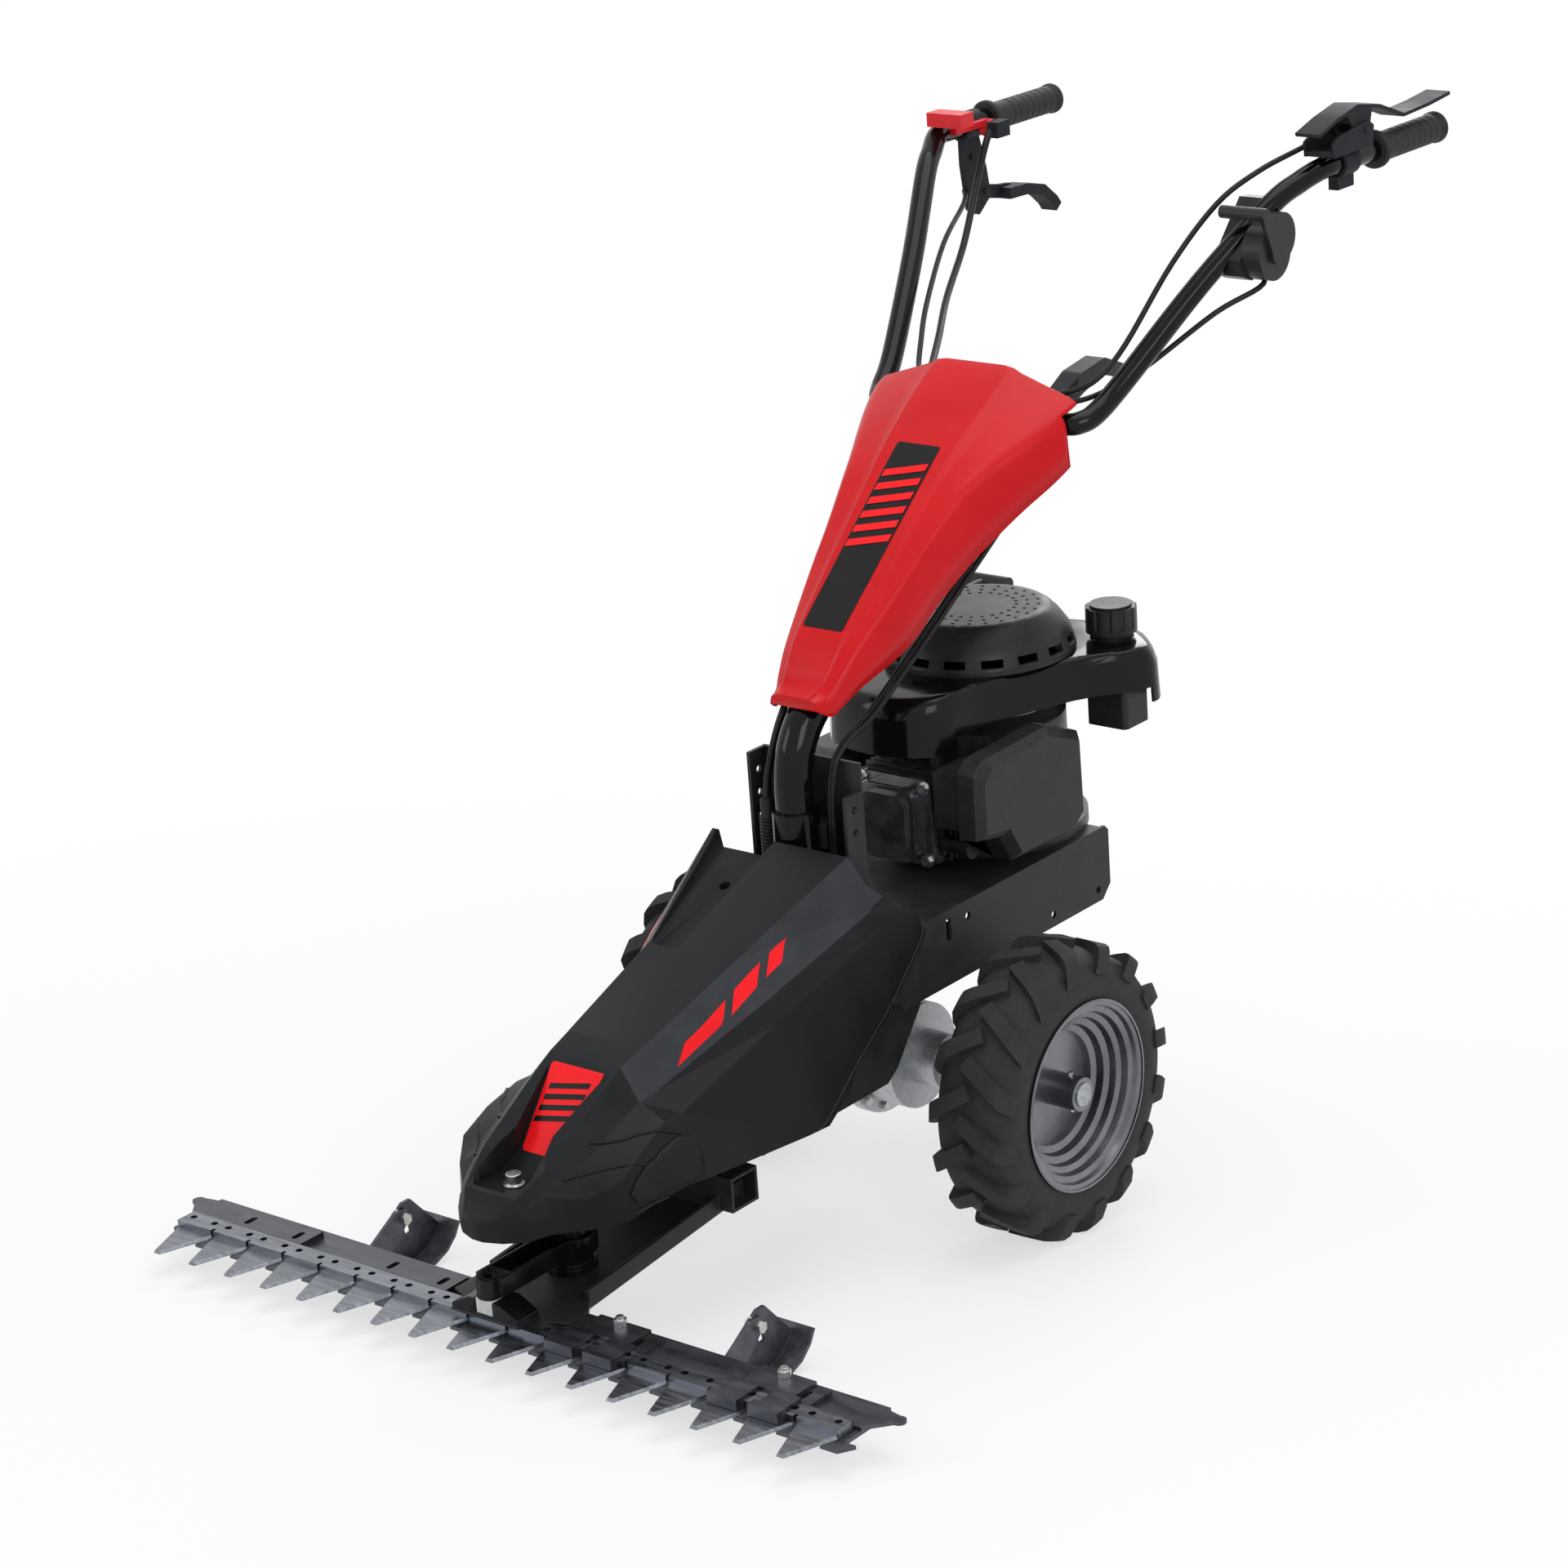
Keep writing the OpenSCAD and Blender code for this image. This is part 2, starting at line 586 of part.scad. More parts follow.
module gearbox_housing() color("#b9bcc0") placed() difference() {
    union() {
        along_x(-52, 52, 0, 0, 58);
        along_x(-88, 88, 0, 0, 30);
        along_x(-7, 7, 0, 0, seam_r);
        along_y(0, gearbox_front, 0, drive_z, 35);
        box([-40, input_y - 40, 0], [40, input_y + 40, case_z - 4 - eps]);
    }
    along_x(-100, 100, 0, 0, axle_r + run);
    along_y(0, gearbox_front - 1, -40, drive_z, drive_r + run);
    upright(0, input_y, 62, case_z, 10 + run);
    for (p = seam_bolts) along_x(-8, 8, p[0], p[1], 3.2);
}

// Bolts round the split flange of the gearbox
module gearbox_bolts() color(bright) placed() for (p = seam_bolts)
    translate([0, p[0], p[1]]) rotate([0, 90, 0]) {
        translate([0, 0, -8]) cylinder(r = 3, h = 16);
        translate([0, 0, 7]) hex_head(10, 5);
        translate([0, 0, -12]) hex_head(10, 5);
    }

// Wheel axle through the gearbox, cross-drilled for the hub pins
pin_x = lip_x - 22;
pin_r = 3;

module axle() color(bright) placed() difference() {
    along_x(5 - lip_x, lip_x - 5, 0, 0, axle_r);
    for (s = [-1, 1]) upright(s * pin_x, 0, -60, 60, pin_r + run);
}

// Pressed wheel rim: two stepped dishes back to back on a hub tube
module rim() {
    k = rim_r / 103;
    w = rim_w / 112;
    half = [for (p = [[hub_r / k - 1, 0], [62, 0], [64, 8], [71, 11], [73, 20], [80, 23], [82, 31],
        [88, 34], [90, 42],
        [96, 44], [98, 50], [102, 52], [103, 56]]) [p[0] * k, p[1] * w]];
    difference() {
        union() {
            rotate([0, 90, 0]) rotate_extrude($fn = 96) {
                polygon(strip(half, 3));
                mirror([0, 1]) polygon(strip(half, 3));
            }
            along_x(-rim_w / 2 + 14, rim_w / 2 - 7, 0, 0, hub_r);
        }
        along_x(-rim_w, rim_w, 0, 0, axle_r + 0.02);
        upright(pin_x - wheel_x, 0, -60, 60, pin_r + run);
    }
}

module rim_left() color("#777b80") placed() translate([wheel_x, 0, 0]) rim();
module rim_right() color("#777b80") placed() mirror([1, 0, 0]) translate([wheel_x, 0, 0]) rim();

// Tyre: hollow carcass with two rows of swept lugs, one lug straight down
module tyre() {
    c = carcass_r;
    bead = rim_r * 102 / 103 + gap;
    k = rim_w / 112;
    half = [[bead, 52], [110, 54], [120, 54], [c - 19, 51], [c - 9, 46], [c - 4, 38], [c - 1, 20], [c, 0]];
    hollow = [[c - 9, 0], [c - 10, 20], [c - 14, 36], [c - 21, 42], [120, 45], [111, 45], [bead, 42]];
    tread = [[tyre_r, 0], [tyre_r, 36], [tyre_r - 2, 46], [tyre_r - 7, 51], [c - 12, 55], [c - 22, 55],
        [c - 22, 49], [c - 13, 44], [c - 8, 36], [c - 6, 20], [c - 5, 0]];
    rotate([0, 90, 0]) revolved_twice(concat(half, hollow), k);
    intersection() {
        rotate([0, 90, 0]) revolved_twice(tread, k);
        for (i = [0:lug_n - 1]) {
            rotate([i * 360 / lug_n - pitch, 0, 0]) lug(k);
            rotate([(i + 0.5) * 360 / lug_n - pitch, 0, 0]) mirror([1, 0, 0]) lug(k);
        }
    }
}

// Half a section revolved together with its mirror image, its width scaled by k
module revolved_twice(profile, k) {
    rotate_extrude($fn = 96) for (s = [k, -k]) polygon([for (p = profile) [p[0], p[1] * s]]);
}

// Blank of one lug, swept back from the middle of the tread to the shoulder
module lug(k) {
    rotate([0, 0, 32]) box([-6, -8.5, -tyre_r - 5], [72 * k, 8.5, 26 - carcass_r]);
}

module tyre_left() color("#1d1d1e") placed() translate([wheel_x, 0, 0]) tyre();
module tyre_right() color("#1d1d1e") placed() mirror([1, 0, 0]) translate([wheel_x, 0, 0]) tyre();

// Pins that lock the hubs to the axle
module hub_pins() color(bright) placed() for (s = [-1, 1])
    upright(s * pin_x, 0, -hub_r - 4, hub_r + 4, pin_r);

// V-belt pulley, grooved round its rim
module pulley(r) {
    rotate_extrude() polygon([[0, 0], [r, 0], [r, 3], [r - 8, 5.5], [r - 8, pulley_h - 5.5],
        [r, pulley_h - 3],
        [r, pulley_h], [0, pulley_h]]);
}

// Gearbox input shaft with the large belt pulley
module input_pulley() color(bright) placed() translate([0, input_y, 0]) {
    translate([0, 0, pulley_z]) pulley(input_pulley_r);
    upright(0, 0, 66, pulley_z + 1, 10);
}

// Belt from the crankshaft pulley to the gearbox input
module drive_belt() color(black) placed() translate([0, 0, pulley_z + 6]) linear_extrude(8) difference() {
    belt_outline(0.5);
    belt_outline(gap - 8);
}

module belt_outline(d) {
    lean = asin((input_pulley_r - small_pulley_r) / (crank_y - input_y));
    polygon(concat(arc([0, crank_y], small_pulley_r + d, lean, 180 - lean, 18),
        arc([0, input_y], input_pulley_r + d, 180 - lean, 360 + lean, 24)));
}

// Engine block: base flange, hollow crankcase and finned cylinder in one casting
module engine_block() color("#3c3d40") placed() difference() {
    union() {
        upright(0, crank_y, deck_z, deck_z + 14, flange_r);
        upright(0, crank_y, deck_z, case_top, 92);
        box([cyl_x - 36, head_y, deck_z + 20], [cyl_x + 36, 130, deck_z + 104]);
        for (i = [0:6]) box([cyl_x - 54, head_y + 4 + 8.5 * i, deck_z + 14 + eps],
            [cyl_x + 54, head_y + 7 + 8.5 * i, deck_z + 110]);
        for (x = [-26, 26]) upright(cyl_x + x, head_y + 26, deck_z + 100, shroud_top - 3, 8);
    }
    upright(0, crank_y, deck_z - 1, case_top - 8, 84);
    upright(0, crank_y, deck_z, through * 2, crank_r + run);
}

// Cylinder head between the fins and the valve cover
head_y = 56;

module cylinder_head() color("#4a4b4e") placed() difference() {
    union() {
        box([cyl_x - 48, head_y - 12, deck_z + 14], [cyl_x + 48, head_y, deck_z + 108]);
        box([cyl_x - 54, head_y - 8, deck_z + 24], [cyl_x + 54, head_y - 4, deck_z + 98]);
    }
    for (p = valve_bolts) along_y(p[0], head_y - 13, head_y - 2, p[1], 3.2);
    along_x(cyl_x + 40, cyl_x + 60, plug_at[0], plug_at[1], 6.1);
}

valve_bolts = [for (x = [-41, 41]) for (z = [-41, 41]) [cyl_x + x, deck_z + 61 + z]];
plug_at = [head_y - 6, deck_z + 38];

module rounded(w, h, r) {
    square([w - 2 * r, h], center = true);
    square([w, h - 2 * r], center = true);
    for (x = [-1, 1]) for (y = [-1, 1]) translate([x * (w / 2 - r), y * (h / 2 - r)]) circle(r = r);
}

// Valve cover: flange with corner bolts and two domed steps
module valve_cover() color("#5a5b5e") placed() difference() {
    translate([cyl_x, head_y - 12, deck_z + 61]) rotate([90, 0, 0]) {
        linear_extrude(7) rounded(98, 96, 12);
        linear_extrude(24) rounded(76, 84, 16);
        linear_extrude(30) rounded(62, 70, 16);
    }
    for (p = valve_bolts) along_y(p[0], head_y - 20, head_y - 11, p[1], 3.2);
    translate([cyl_x, head_y - 11, deck_z + 61]) rotate([90, 0, 0]) linear_extrude(26) rounded(54, 62, 12);
}

// Flange bolts of the valve cover
module valve_cover_bolts() color(bright) placed() for (p = valve_bolts) translate([p[0], head_y - 19, p[1]])
    rotate([-90, 0, 0]) {
        cylinder(r = 3, h = 16);
        translate([0, 0, -7]) hex_head(11, 7);
        translate([0, 0, -1.5]) cylinder(r = 7.5, h = 1.5);
    }

// Spark plug with its rubber cap
module spark_plug() color(black) placed() {
    along_x(cyl_x + 41, cyl_x + 56, plug_at[0], plug_at[1], 6);
    along_x(cyl_x + 54 + gap, cyl_x + 62, plug_at[0], plug_at[1], 9);
    along_x(cyl_x + 60, cyl_x + 88, plug_at[0], plug_at[1], 8);
    along_x(cyl_x + 84, cyl_x + 92, plug_at[0], plug_at[1], 12);
}

// Carburettor between the inlet port and the air filter
module carburettor() color("#8d9094") placed() {
    box([cyl_x + 54.2, 84, deck_z + 48], [filter_in - gap, 122, deck_z + 92]);
    upright(cyl_x + 70, 104, deck_z + 28, deck_z + 49, 13);
}

filter_in = 95;
filter_seam = 105;
filter_edge = [[16, 60], [58, 52], [76, 20], [190, 17], [208, 30], [206, 128], [150, 150], [32, 146],
    [17, 134]];

function filter_ring(x, d) = [for (p = filter_edge) let (v = p - [110, 80])
    [x, p[0] - d * sign(v[0]), deck_z + p[1] - d * sign(v[1])]];

// Air filter: back plate on the carburettor and bevelled lid
module air_filter_base() color(black) placed() {
    box([filter_in, 76, deck_z + 24], [filter_seam, 196, deck_z + 128]);
    box([cyl_x + 63, 24, deck_z + 66], [filter_seam, 77, deck_z + 128]);
}

module air_filter_cover() color("#232427") placed() difference() {
    skin([filter_ring(filter_seam, 0), filter_ring(filter_x - 9, 1), filter_ring(filter_x, 9)]);
    skin([filter_ring(filter_seam - 1, 4), filter_ring(filter_x - 11, 5), filter_ring(filter_x - 4, 13)]);
}

// Muffler on the exhaust side with a slotted guard
module muffler() color("#54565a") placed() difference() {
    union() {
        translate([-140, 112, deck_z + 70]) rotate([0, 90, 0]) linear_extrude(44) rounded(82, 108, 14);
        translate([-147, 112, deck_z + 70]) rotate([0, 90, 0]) linear_extrude(8) rounded(70, 96, 10);
        along_x(-97, cyl_x - 54.2, 96, deck_z + 66, 15);
    }
    for (i = [-3:3]) box([-160, 110 + 12 * i, deck_z + 46], [-143, 115 + 12 * i, deck_z + 94]);
}

// Crankshaft with the small belt pulley on its lower end
module crankshaft() color(bright) placed() translate([0, crank_y, 0]) {
    upright(0, 0, pulley_z - 6, shroud_top - 8, crank_r);
    translate([0, 0, pulley_z]) pulley(small_pulley_r);
}

// Flywheel fan under the shroud
module flywheel() color("#7b7d80") placed() translate([0, crank_y, 0]) difference() {
    union() {
        upright(0, 0, shroud_z + 6, shroud_z + 16, 84);
        for (a = [0:30:330]) rotate([0, 0, a]) box([46, -2, shroud_z + 15], [82, 2, shroud_z + 42]);
        upright(0, 0, shroud_z + 6, shroud_z + 40, 24);
    }
    upright(0, 0, shroud_z, shroud_top, crank_r + 0.02);
}

// Outline of the shroud seen from above, over the cylinder and round the tank
shroud_edge = [[-62, 22], [-20, 10], [32, 13], [70, 40], [82, 100], [120, 212], [152, 258], [167, 285],
    [167, 304],
    [150, 328], [122, 350], [80, 358], [20, 348], [-70, 324], [-120, 266], [-130, 195], [-112, 115],
        [-90, 55]];
shroud_round = let (n = len(shroud_edge)) curve([for (i = [0:n]) shroud_edge[i % n]], 3);

function shroud_ring(z, d) = [for (i = [0:len(shroud_round) - 2]) let (p = shroud_round[i],
    q = p + d * unit([15, 200] - p))
    [q[0], q[1], z]];

// Glossy engine shroud: open below, holed for the filler neck
module fan_shroud() color("#101113") placed() difference() {
    skin([shroud_ring(shroud_z, 0), shroud_ring(shroud_z + 40, 2), shroud_ring(shroud_z + 52, 6),
        shroud_ring(shroud_z + 59, 11), shroud_ring(shroud_top, 18)]);
    skin([shroud_ring(shroud_z - 5, 3), shroud_ring(shroud_z + 38, 5), shroud_ring(shroud_z + 50, 9),
        shroud_ring(shroud_z + 56, 14), shroud_ring(shroud_top - 3, 21)]);
    upright(cap_x, cap_y, shroud_top - 20, shroud_top + 10, 24);
    box([60, 60, 0], [through, 290, shroud_z + 17]);
}

// Fuel tank inside the shroud, its sump below the lip
module fuel_tank() color("#1a1b1d") placed() difference() {
    union() {
        translate([cap_x + 2, cap_y - 7, shroud_z + 20]) linear_extrude(30) rounded(56, 56, 10);
        translate([cap_x + 15, cap_y - 16, shroud_z - 28]) linear_extrude(50) rounded(52, 46, 6);
        upright(cap_x, cap_y, shroud_z + 48, shroud_top + 8, 21);
    }
    translate([cap_x + 2, cap_y - 7, shroud_z + 23]) linear_extrude(24) rounded(50, 50, 8);
    translate([cap_x + 15, cap_y - 16, shroud_z - 25]) linear_extrude(50) rounded(46, 40, 4);
    upright(cap_x, cap_y, shroud_z + 40, shroud_top + 9, 18);
}

// Fluted fuel cap over the filler neck
module fuel_cap() color("#141415") placed() translate([cap_x, cap_y, shroud_top]) difference() {
    cap_h = 28;
    union() {
        upright(0, 0, 7, 7 + cap_h, cap_r);
        upright(0, 0, 7 + cap_h, 10 + cap_h, cap_r - 5);
    }
    upright(0, 0, 6, 2 + cap_h, 21.5);
    for (a = [0:30:330]) rotate([0, 0, a]) upright(cap_r + 1.5, 0, 12, 40 + cap_h, 3.5);
}

// Starter dome: drilled top and slotted skirt
module starter_dome() color("#141517") placed() translate([0, crank_y, 0]) difference() {
    rotate_extrude($fn = 96) polygon([[dome_r, shroud_top], [dome_r, shroud_top + 5],
        [dome_r - 6, shroud_top + 22],
        [dome_r - 16, dome_top - 12], [dome_r - 24, dome_top - 4], [dome_r - 30, dome_top], [0, dome_top],
        [0, dome_top - 3], [dome_r - 31, dome_top - 3], [dome_r - 27, dome_top - 7],
            [dome_r - 19, dome_top - 14],
        [dome_r - 9, shroud_top + 21], [dome_r - 4, shroud_top + 5], [dome_r - 4, shroud_top]]);
    for (a = [0:22.5:337.5]) rotate([0, 0, a]) box([dome_r - 20, -12, shroud_top + 8],
        [dome_r + 5, 12, shroud_top + 17]);
    for (r = [44, 56, 68]) for (a = [0:15:345]) rotate([0, 0, a]) upright(r, 0, dome_top - 5,
        dome_top + 1, 2.3);
    box([starter_x - 4, 40, starter_z - 4], [starter_x + 4, dome_r, starter_z + 4]);
}

// Starter handle with the stretch of rope that it draws out of the dome
starter_x = -65;
starter_z = shroud_top + 36;

module starter_grip() color(black) placed() translate([starter_x, crank_y, starter_z]) {
    seat = sqrt(pow(dome_r - 16, 2) - pow(starter_x + 6, 2)) + 2.9;
    along_x(-32, 32, seat + 33, 0, 9);
    along_y(0, seat - 80, seat + 26, 0, 2.5);
    along_y(0, seat, seat + 30, 0, 6);
}

// Bracket that holds the column: back plate, drilled flanges and two saddles
saddle_zs = [deck_z + 20, deck_z + 80];

module column_bracket() color(steel) placed() difference() {
    top = deck_z + 172;
    union() {
        box([-64, column_y + 30, deck_z], [64, column_y + 34, top]);
        both_sides() box([60, column_y + 4, deck_z], [64, column_y + 31, top - 30]);
        box([-64, column_y + 4, deck_z], [-60, column_y + 31, top]);
        box([-64, column_y + 4, deck_z], [64, column_y + 34, deck_z + 4]);
        for (z = saddle_zs) box([-30, column_y + 8, z], [30, column_y + 31, z + 26]);
    }
    upright(0, column_y, deck_z - 1, through, sleeve_r);
    for (z = [40, 100, 125, 150]) along_x(-70, 70, column_y + 18, deck_z + z, 4);
}

// Bent steel column with its foot sleeve
sleeve_r = 25;
column_tip = [0, 188, 637];
column_path = concat([[0, column_y, deck_z + 1]], curve([[0, column_y, 300], [0, column_y, 338],
    [0, -116, 370], [0, -100, 397],
    [0, -74, 420], [0, -30, 457]], 3), [column_tip]);

module handle_column() color("#17181a") placed() difference() {
    union() {
        sweep(column_path, column_r, 24);
        upright(0, column_y, deck_z, deck_z + 122, sleeve_r - run);
    }
    sweep(concat([[0, column_y, deck_z - 5]], column_path, [column_tip + [0, 7.7, 6.4]]),
        column_r - 2.5, 12);
}

// Moulded cover: stations along the column, each with the right-hand half of its section
cover_rows = [
    [-113, [[18, 431], [29, 428], [31, 419]]],
    [-98, [[20, 440], [35, 431], [38, 411]]],
    [-84, [[22, 459], [41, 446], [44, 420]]],
    [-61, [[24, 486], [48, 471], [51, 434]]],
    [0, [[26, 537], [62, 527], [66, 461]]],
    [44, [[27, 574], [70, 567], [75, 497]]],
    [87, [[28, 610], [80, 605], [88, 531]]],
    [120, [[30, 637], [92, 625], [101, 555]]],
    [150, [[32, 658], [105, 641], [114, 576]]],
    [185, [[35, 681], [121, 656], [128, 597]]],
    [215, [[37, 698], [132, 668], [135, 616]]],
    [229, [[38, 704], [134, 673], [136, 638]]]];

module column_cover() color(red) placed() difference() {
    union() {
        difference() {
            skin([for (r = cover_rows) ring(r[0], r[1])]);
            skin([for (i = [0:len(cover_rows) - 1]) let (r = cover_rows[i])
                ring(r[0] + (i == 0 ? 2 * cover_t : i == len(cover_rows) - 1 ? 5 : 0), [for (k = [0:2])
                    [r[1][k][0] - cover_t, r[1][k][1] - (k == 2 ? 25 : cover_t)]])]);
        }
        for (y = [20, 120]) box([-6, y, 500 + 0.84 * (y - 20)], [6, y + 8, 551 + 0.84 * (y - 20)]);
    }
    sweep(column_path, column_r + gap, 24);
    both_sides() box([100, 205, 560], [140, 240, 668]);
}

// Clamp block on the end of the column, bored for the handlebar
clamp_at = [254, 664];

module bar_clamp() color(black) placed() difference() {
    box([-34, 190, 622], [34, 268, 678]);
    along_x(-50, 50, tilt_y, tilt_z, bar_r + run);
    sweep([[0, -40, 449], column_tip + [0, 3.9, 3.2]], column_r + run, 24);
    box([-50, tilt_y + 8, tilt_z - 1.5], [50, 300, tilt_z + 1.5]);
    along_x(-50, 50, clamp_at[0], clamp_at[1], 4 + run);
}

// Clamp lever on its cross bolt
lever_x = 78;

module clamp_lever() color(black) placed() {
    y = clamp_at[0];
    z = clamp_at[1];
    along_x(-38, lever_x + 16, y, z, 4);
    translate([-38, y, z]) rotate([0, 90, 0]) hex_head(14, 3.5);
    along_x(34 + gap, lever_x, y, z, 9);
    hull() {
        along_x(lever_x - 2, lever_x + 18, y, z, 11);
        along_x(lever_x, lever_x + 24, y + 26, z + 16, 11);
    }
    hull() {
        along_x(lever_x, lever_x + 24, y + 26, z + 16, 11);
        along_x(lever_x, lever_x + 24, y + 66, z + 24, 9);
    }
    hull() {
        along_x(lever_x, lever_x + 24, y + 66, z + 24, 9);
        along_x(lever_x + 4, lever_x + 20, y + 120, z + 4, 7);
    }
}

// Handlebar: cross tube in the clamp and two bent arms that spring from its ends
arm_side = [0, -1, 1];
arm_path = [[bar_x - 18, tilt_y, tilt_z], [bar_x - 9, tilt_y + 0.5, tilt_z],
    [bar_x + 1, tilt_y + 6, tilt_z + 1.5],
    [141, 244, 658], [152, 280, 684], [190, 376, 773], [228, 456, grip_z - 31], [243, 490, grip_z - 12],
    [grip_x - 4, 514, grip_z - 2], [grip_x, 535, grip_z]];
arm_run = concat(curve(arm_path, 3), [[grip_x, grip_end_y - 8, grip_z]]);

module handlebar() color("#0f1011") placed() difference() {
    cross_x = bar_x - 16;
    union() {
        along_x(-cross_x, cross_x, tilt_y, tilt_z, bar_r);
        both_sides() sweep(arm_run, bar_r - 0.1, 16, arm_side);
    }
    along_x(-cross_x + eps, cross_x - eps, tilt_y, tilt_z, bar_r - 2);
    both_sides() sweep(concat(curve(arm_path, 3), [[grip_x, grip_end_y, grip_z]]),
        bar_r - 2.6, 8, arm_side);
}

// Rubber grips with finger rings and an inner flange
module grips() color("#1b1b1c") placed() both_sides() translate([grip_x, grip_end_y,
    grip_z]) rotate([90, 0, 0])
    rotate_extrude() polygon(concat([[0, 0], [grip_r - 2, 0], [grip_r + 1.5, 3], [grip_r + 1.5, 7],
        [grip_r, 10]],
        flat([for (i = [1:8]) let (y = 12 * i) [[grip_r, y], [grip_r - 1.2, y + 1], [grip_r, y + 2]]]),
        [[grip_r, grip_len - 12], [grip_r + 5, grip_len - 7], [grip_r + 5, grip_len - 2],
            [grip_r + 3, grip_len],
        [bar_r + run, grip_len], [bar_r + run, 8 - run], [0, 8 - run]]));

// Clamp on the left arm that carries the clutch lever on a cross pin
clutch_at = [573, 905];

module bar_ring(y0, y1, r) {
    difference() {
        along_y(0, y0, y1, 0, r);
        along_y(0, y0 - 1, y1 + 1, 0, bar_r + run);
    }
}

module clutch_bracket() color(steel) placed() {
    translate([grip_x, 0, grip_z]) {
        bar_ring(537, 566, 16);
        box([-6, 534, -28], [6, 566, -bar_r - 1.5]);
    }
    for (s = [-1, 1]) translate([grip_x + s * 17.5, 0, 0]) side_plate(-1.5, 1.5, [[508, 886],
        [586, 886], [588, 908],
        [578, 914], [520, 908], [506, 902]]);
    box([grip_x - 18, 506, 887], [grip_x + 18, 516, 892]);
    box([grip_x - 18, 526, 887], [grip_x + 18, 582, 890]);
    along_x(grip_x - 21, grip_x + 21, clutch_at[0], clutch_at[1], 4);
}

// Bent clutch lever over the left grip
module clutch_lever() color(steel) placed() difference() {
    union() {
        side_plate(grip_x - 15, grip_x + 15, strip(lever_path, 4));
        for (s = [-1, 1]) translate([grip_x + s * 13, 0, 0]) side_plate(-2, 2, [[540, 927], [562, 898],
            [584, 896],
            [592, 926], [563, 932]]);
    }
    along_x(0, 2 * grip_x, clutch_at[0], clutch_at[1], 4 + run);
}

// Drop bracket on the right arm for the drive lever and the stop lever
drive_at = [600, 794];
stop_at = [588, 871];

module drive_lever_bracket() color(steel) placed() {
    translate([-grip_x, 0, grip_z]) {
        bar_ring(562, 594, 16);
    }
    difference() {
        side_plate(-grip_x - 4, -grip_x + 4, [[564, 830], [572, 776], [588, 768], [612, 786],
            [606, 820], [594, grip_z - 13],
            [564, grip_z - 13]]);
        along_x(-2 * grip_x, 0, 576, 838, 4);
    }
    along_x(-grip_x - 16, -grip_x + 8, drive_at[0], drive_at[1], 4);
    along_x(15 - grip_x, 34 - grip_x, stop_at[0], stop_at[1], 4);
    box([31 - grip_x, stop_at[0] - 14, stop_at[1] - 9], [46 - grip_x, stop_at[0] + 10, stop_at[1] + 9]);
}

// Curved drive lever under the right grip
module drive_lever() color(steel) placed() difference() {
    union() {
        side_plate(-grip_x - 11, -grip_x - 4 - gap, strip([[588, 780], [606, 783], [640, 776],
            [660, 774]], 16));
        side_plate(-grip_x - 11, -grip_x + 11, strip([[640, 776], [672, 775], [704, 768], [724, 752],
            [730, 744]], 13));
    }
    along_x(-2 * grip_x, 0, drive_at[0], drive_at[1], 4 + run);
}

// Red stop lever beside the right arm, its thumb piece over the tube
module stop_lever() color(red) placed() translate([-grip_x, stop_at[0], stop_at[1]]) difference() {
    union() {
        along_x(16 + gap, 30.5, 0, 0, 10);
        box([16 + gap, -64, 3], [25, 0, 10]);
        box([16 + gap, -64, 3], [25, -50, 20]);
        box([0, -85, 15], [48, -61, 31]);
    }
    along_x(0, 60, 0, 0, 4 + run);
}

// Throttle housing clamped to the left arm
throttle_at = [430, 800];
throttle_x = 226;

module throttle_box() color(black) placed() difference() {
    union() {
        translate([throttle_x, throttle_at[0], throttle_at[1]]) rotate([0, 90, 0]) {
            cylinder(r = 30, h = 24);
            translate([-14, 14, 0]) cylinder(r = 26, h = 24);
        }
        side_plate(throttle_x - 32, throttle_x + 1, [[400, 778], [420, 770], [462, 812], [470, 850],
            [450, 852], [396, 796]]);
    }
    sweep(arm_run, bar_r + run, 16, arm_side);
    along_x(throttle_x - 10, throttle_x + 40, throttle_at[0], throttle_at[1], 5 + run);
}

// Throttle lever with a cross handle
module throttle_lever() color(black) placed() {
    along_x(throttle_x + 2, throttle_x + 28, throttle_at[0], throttle_at[1], 5);
    along_x(throttle_x + 24 + gap, throttle_x + 29, throttle_at[0], throttle_at[1], 12);
    side_plate(throttle_x + 24 + gap, throttle_x + 29, [throttle_at + [-10, -4], throttle_at + [10, 4],
        throttle_at + [-16, 48], throttle_at + [-30, 43]]);
    along_x(throttle_x - 26, throttle_x + 30, throttle_at[0] - 24, throttle_at[1] + 45, 7);
}

// Cable stretches on the handlebar, from the levers down behind the cover
module upper_cables() color(black) placed() {
    sweep(curve([[grip_x - 22.3, 536, 898], [grip_x - 24, 508, 894], [212, 462, 878], [186, 420, 850],
        [166, 360, 796],
        [150, 290, 722], [136, 256, 692], [128, 243, 682]], 4), 3);
    sweep(curve([[238, 424, 767], [205, 380, 742], [152, 318, 690], [128, 268, 672], [116, 246, 664]],
        4), 3);
    sweep(curve([[-grip_x, 566, 800], [-240, 540, 792], [-196, 440, 770], [-140, 330, 730],
        [-106, 272, 704],
        [-90, 244, 692]], 4), 3);
    sweep(curve([[38.5 - grip_x, stop_at[0] - 19, 871], [-217, 554, 854], [-213, 530, 818],
        [-190, 470, 764],
        [-145, 374, 728], [-102, 300, 706], [-72, 246, 692]], 4), 4);
}

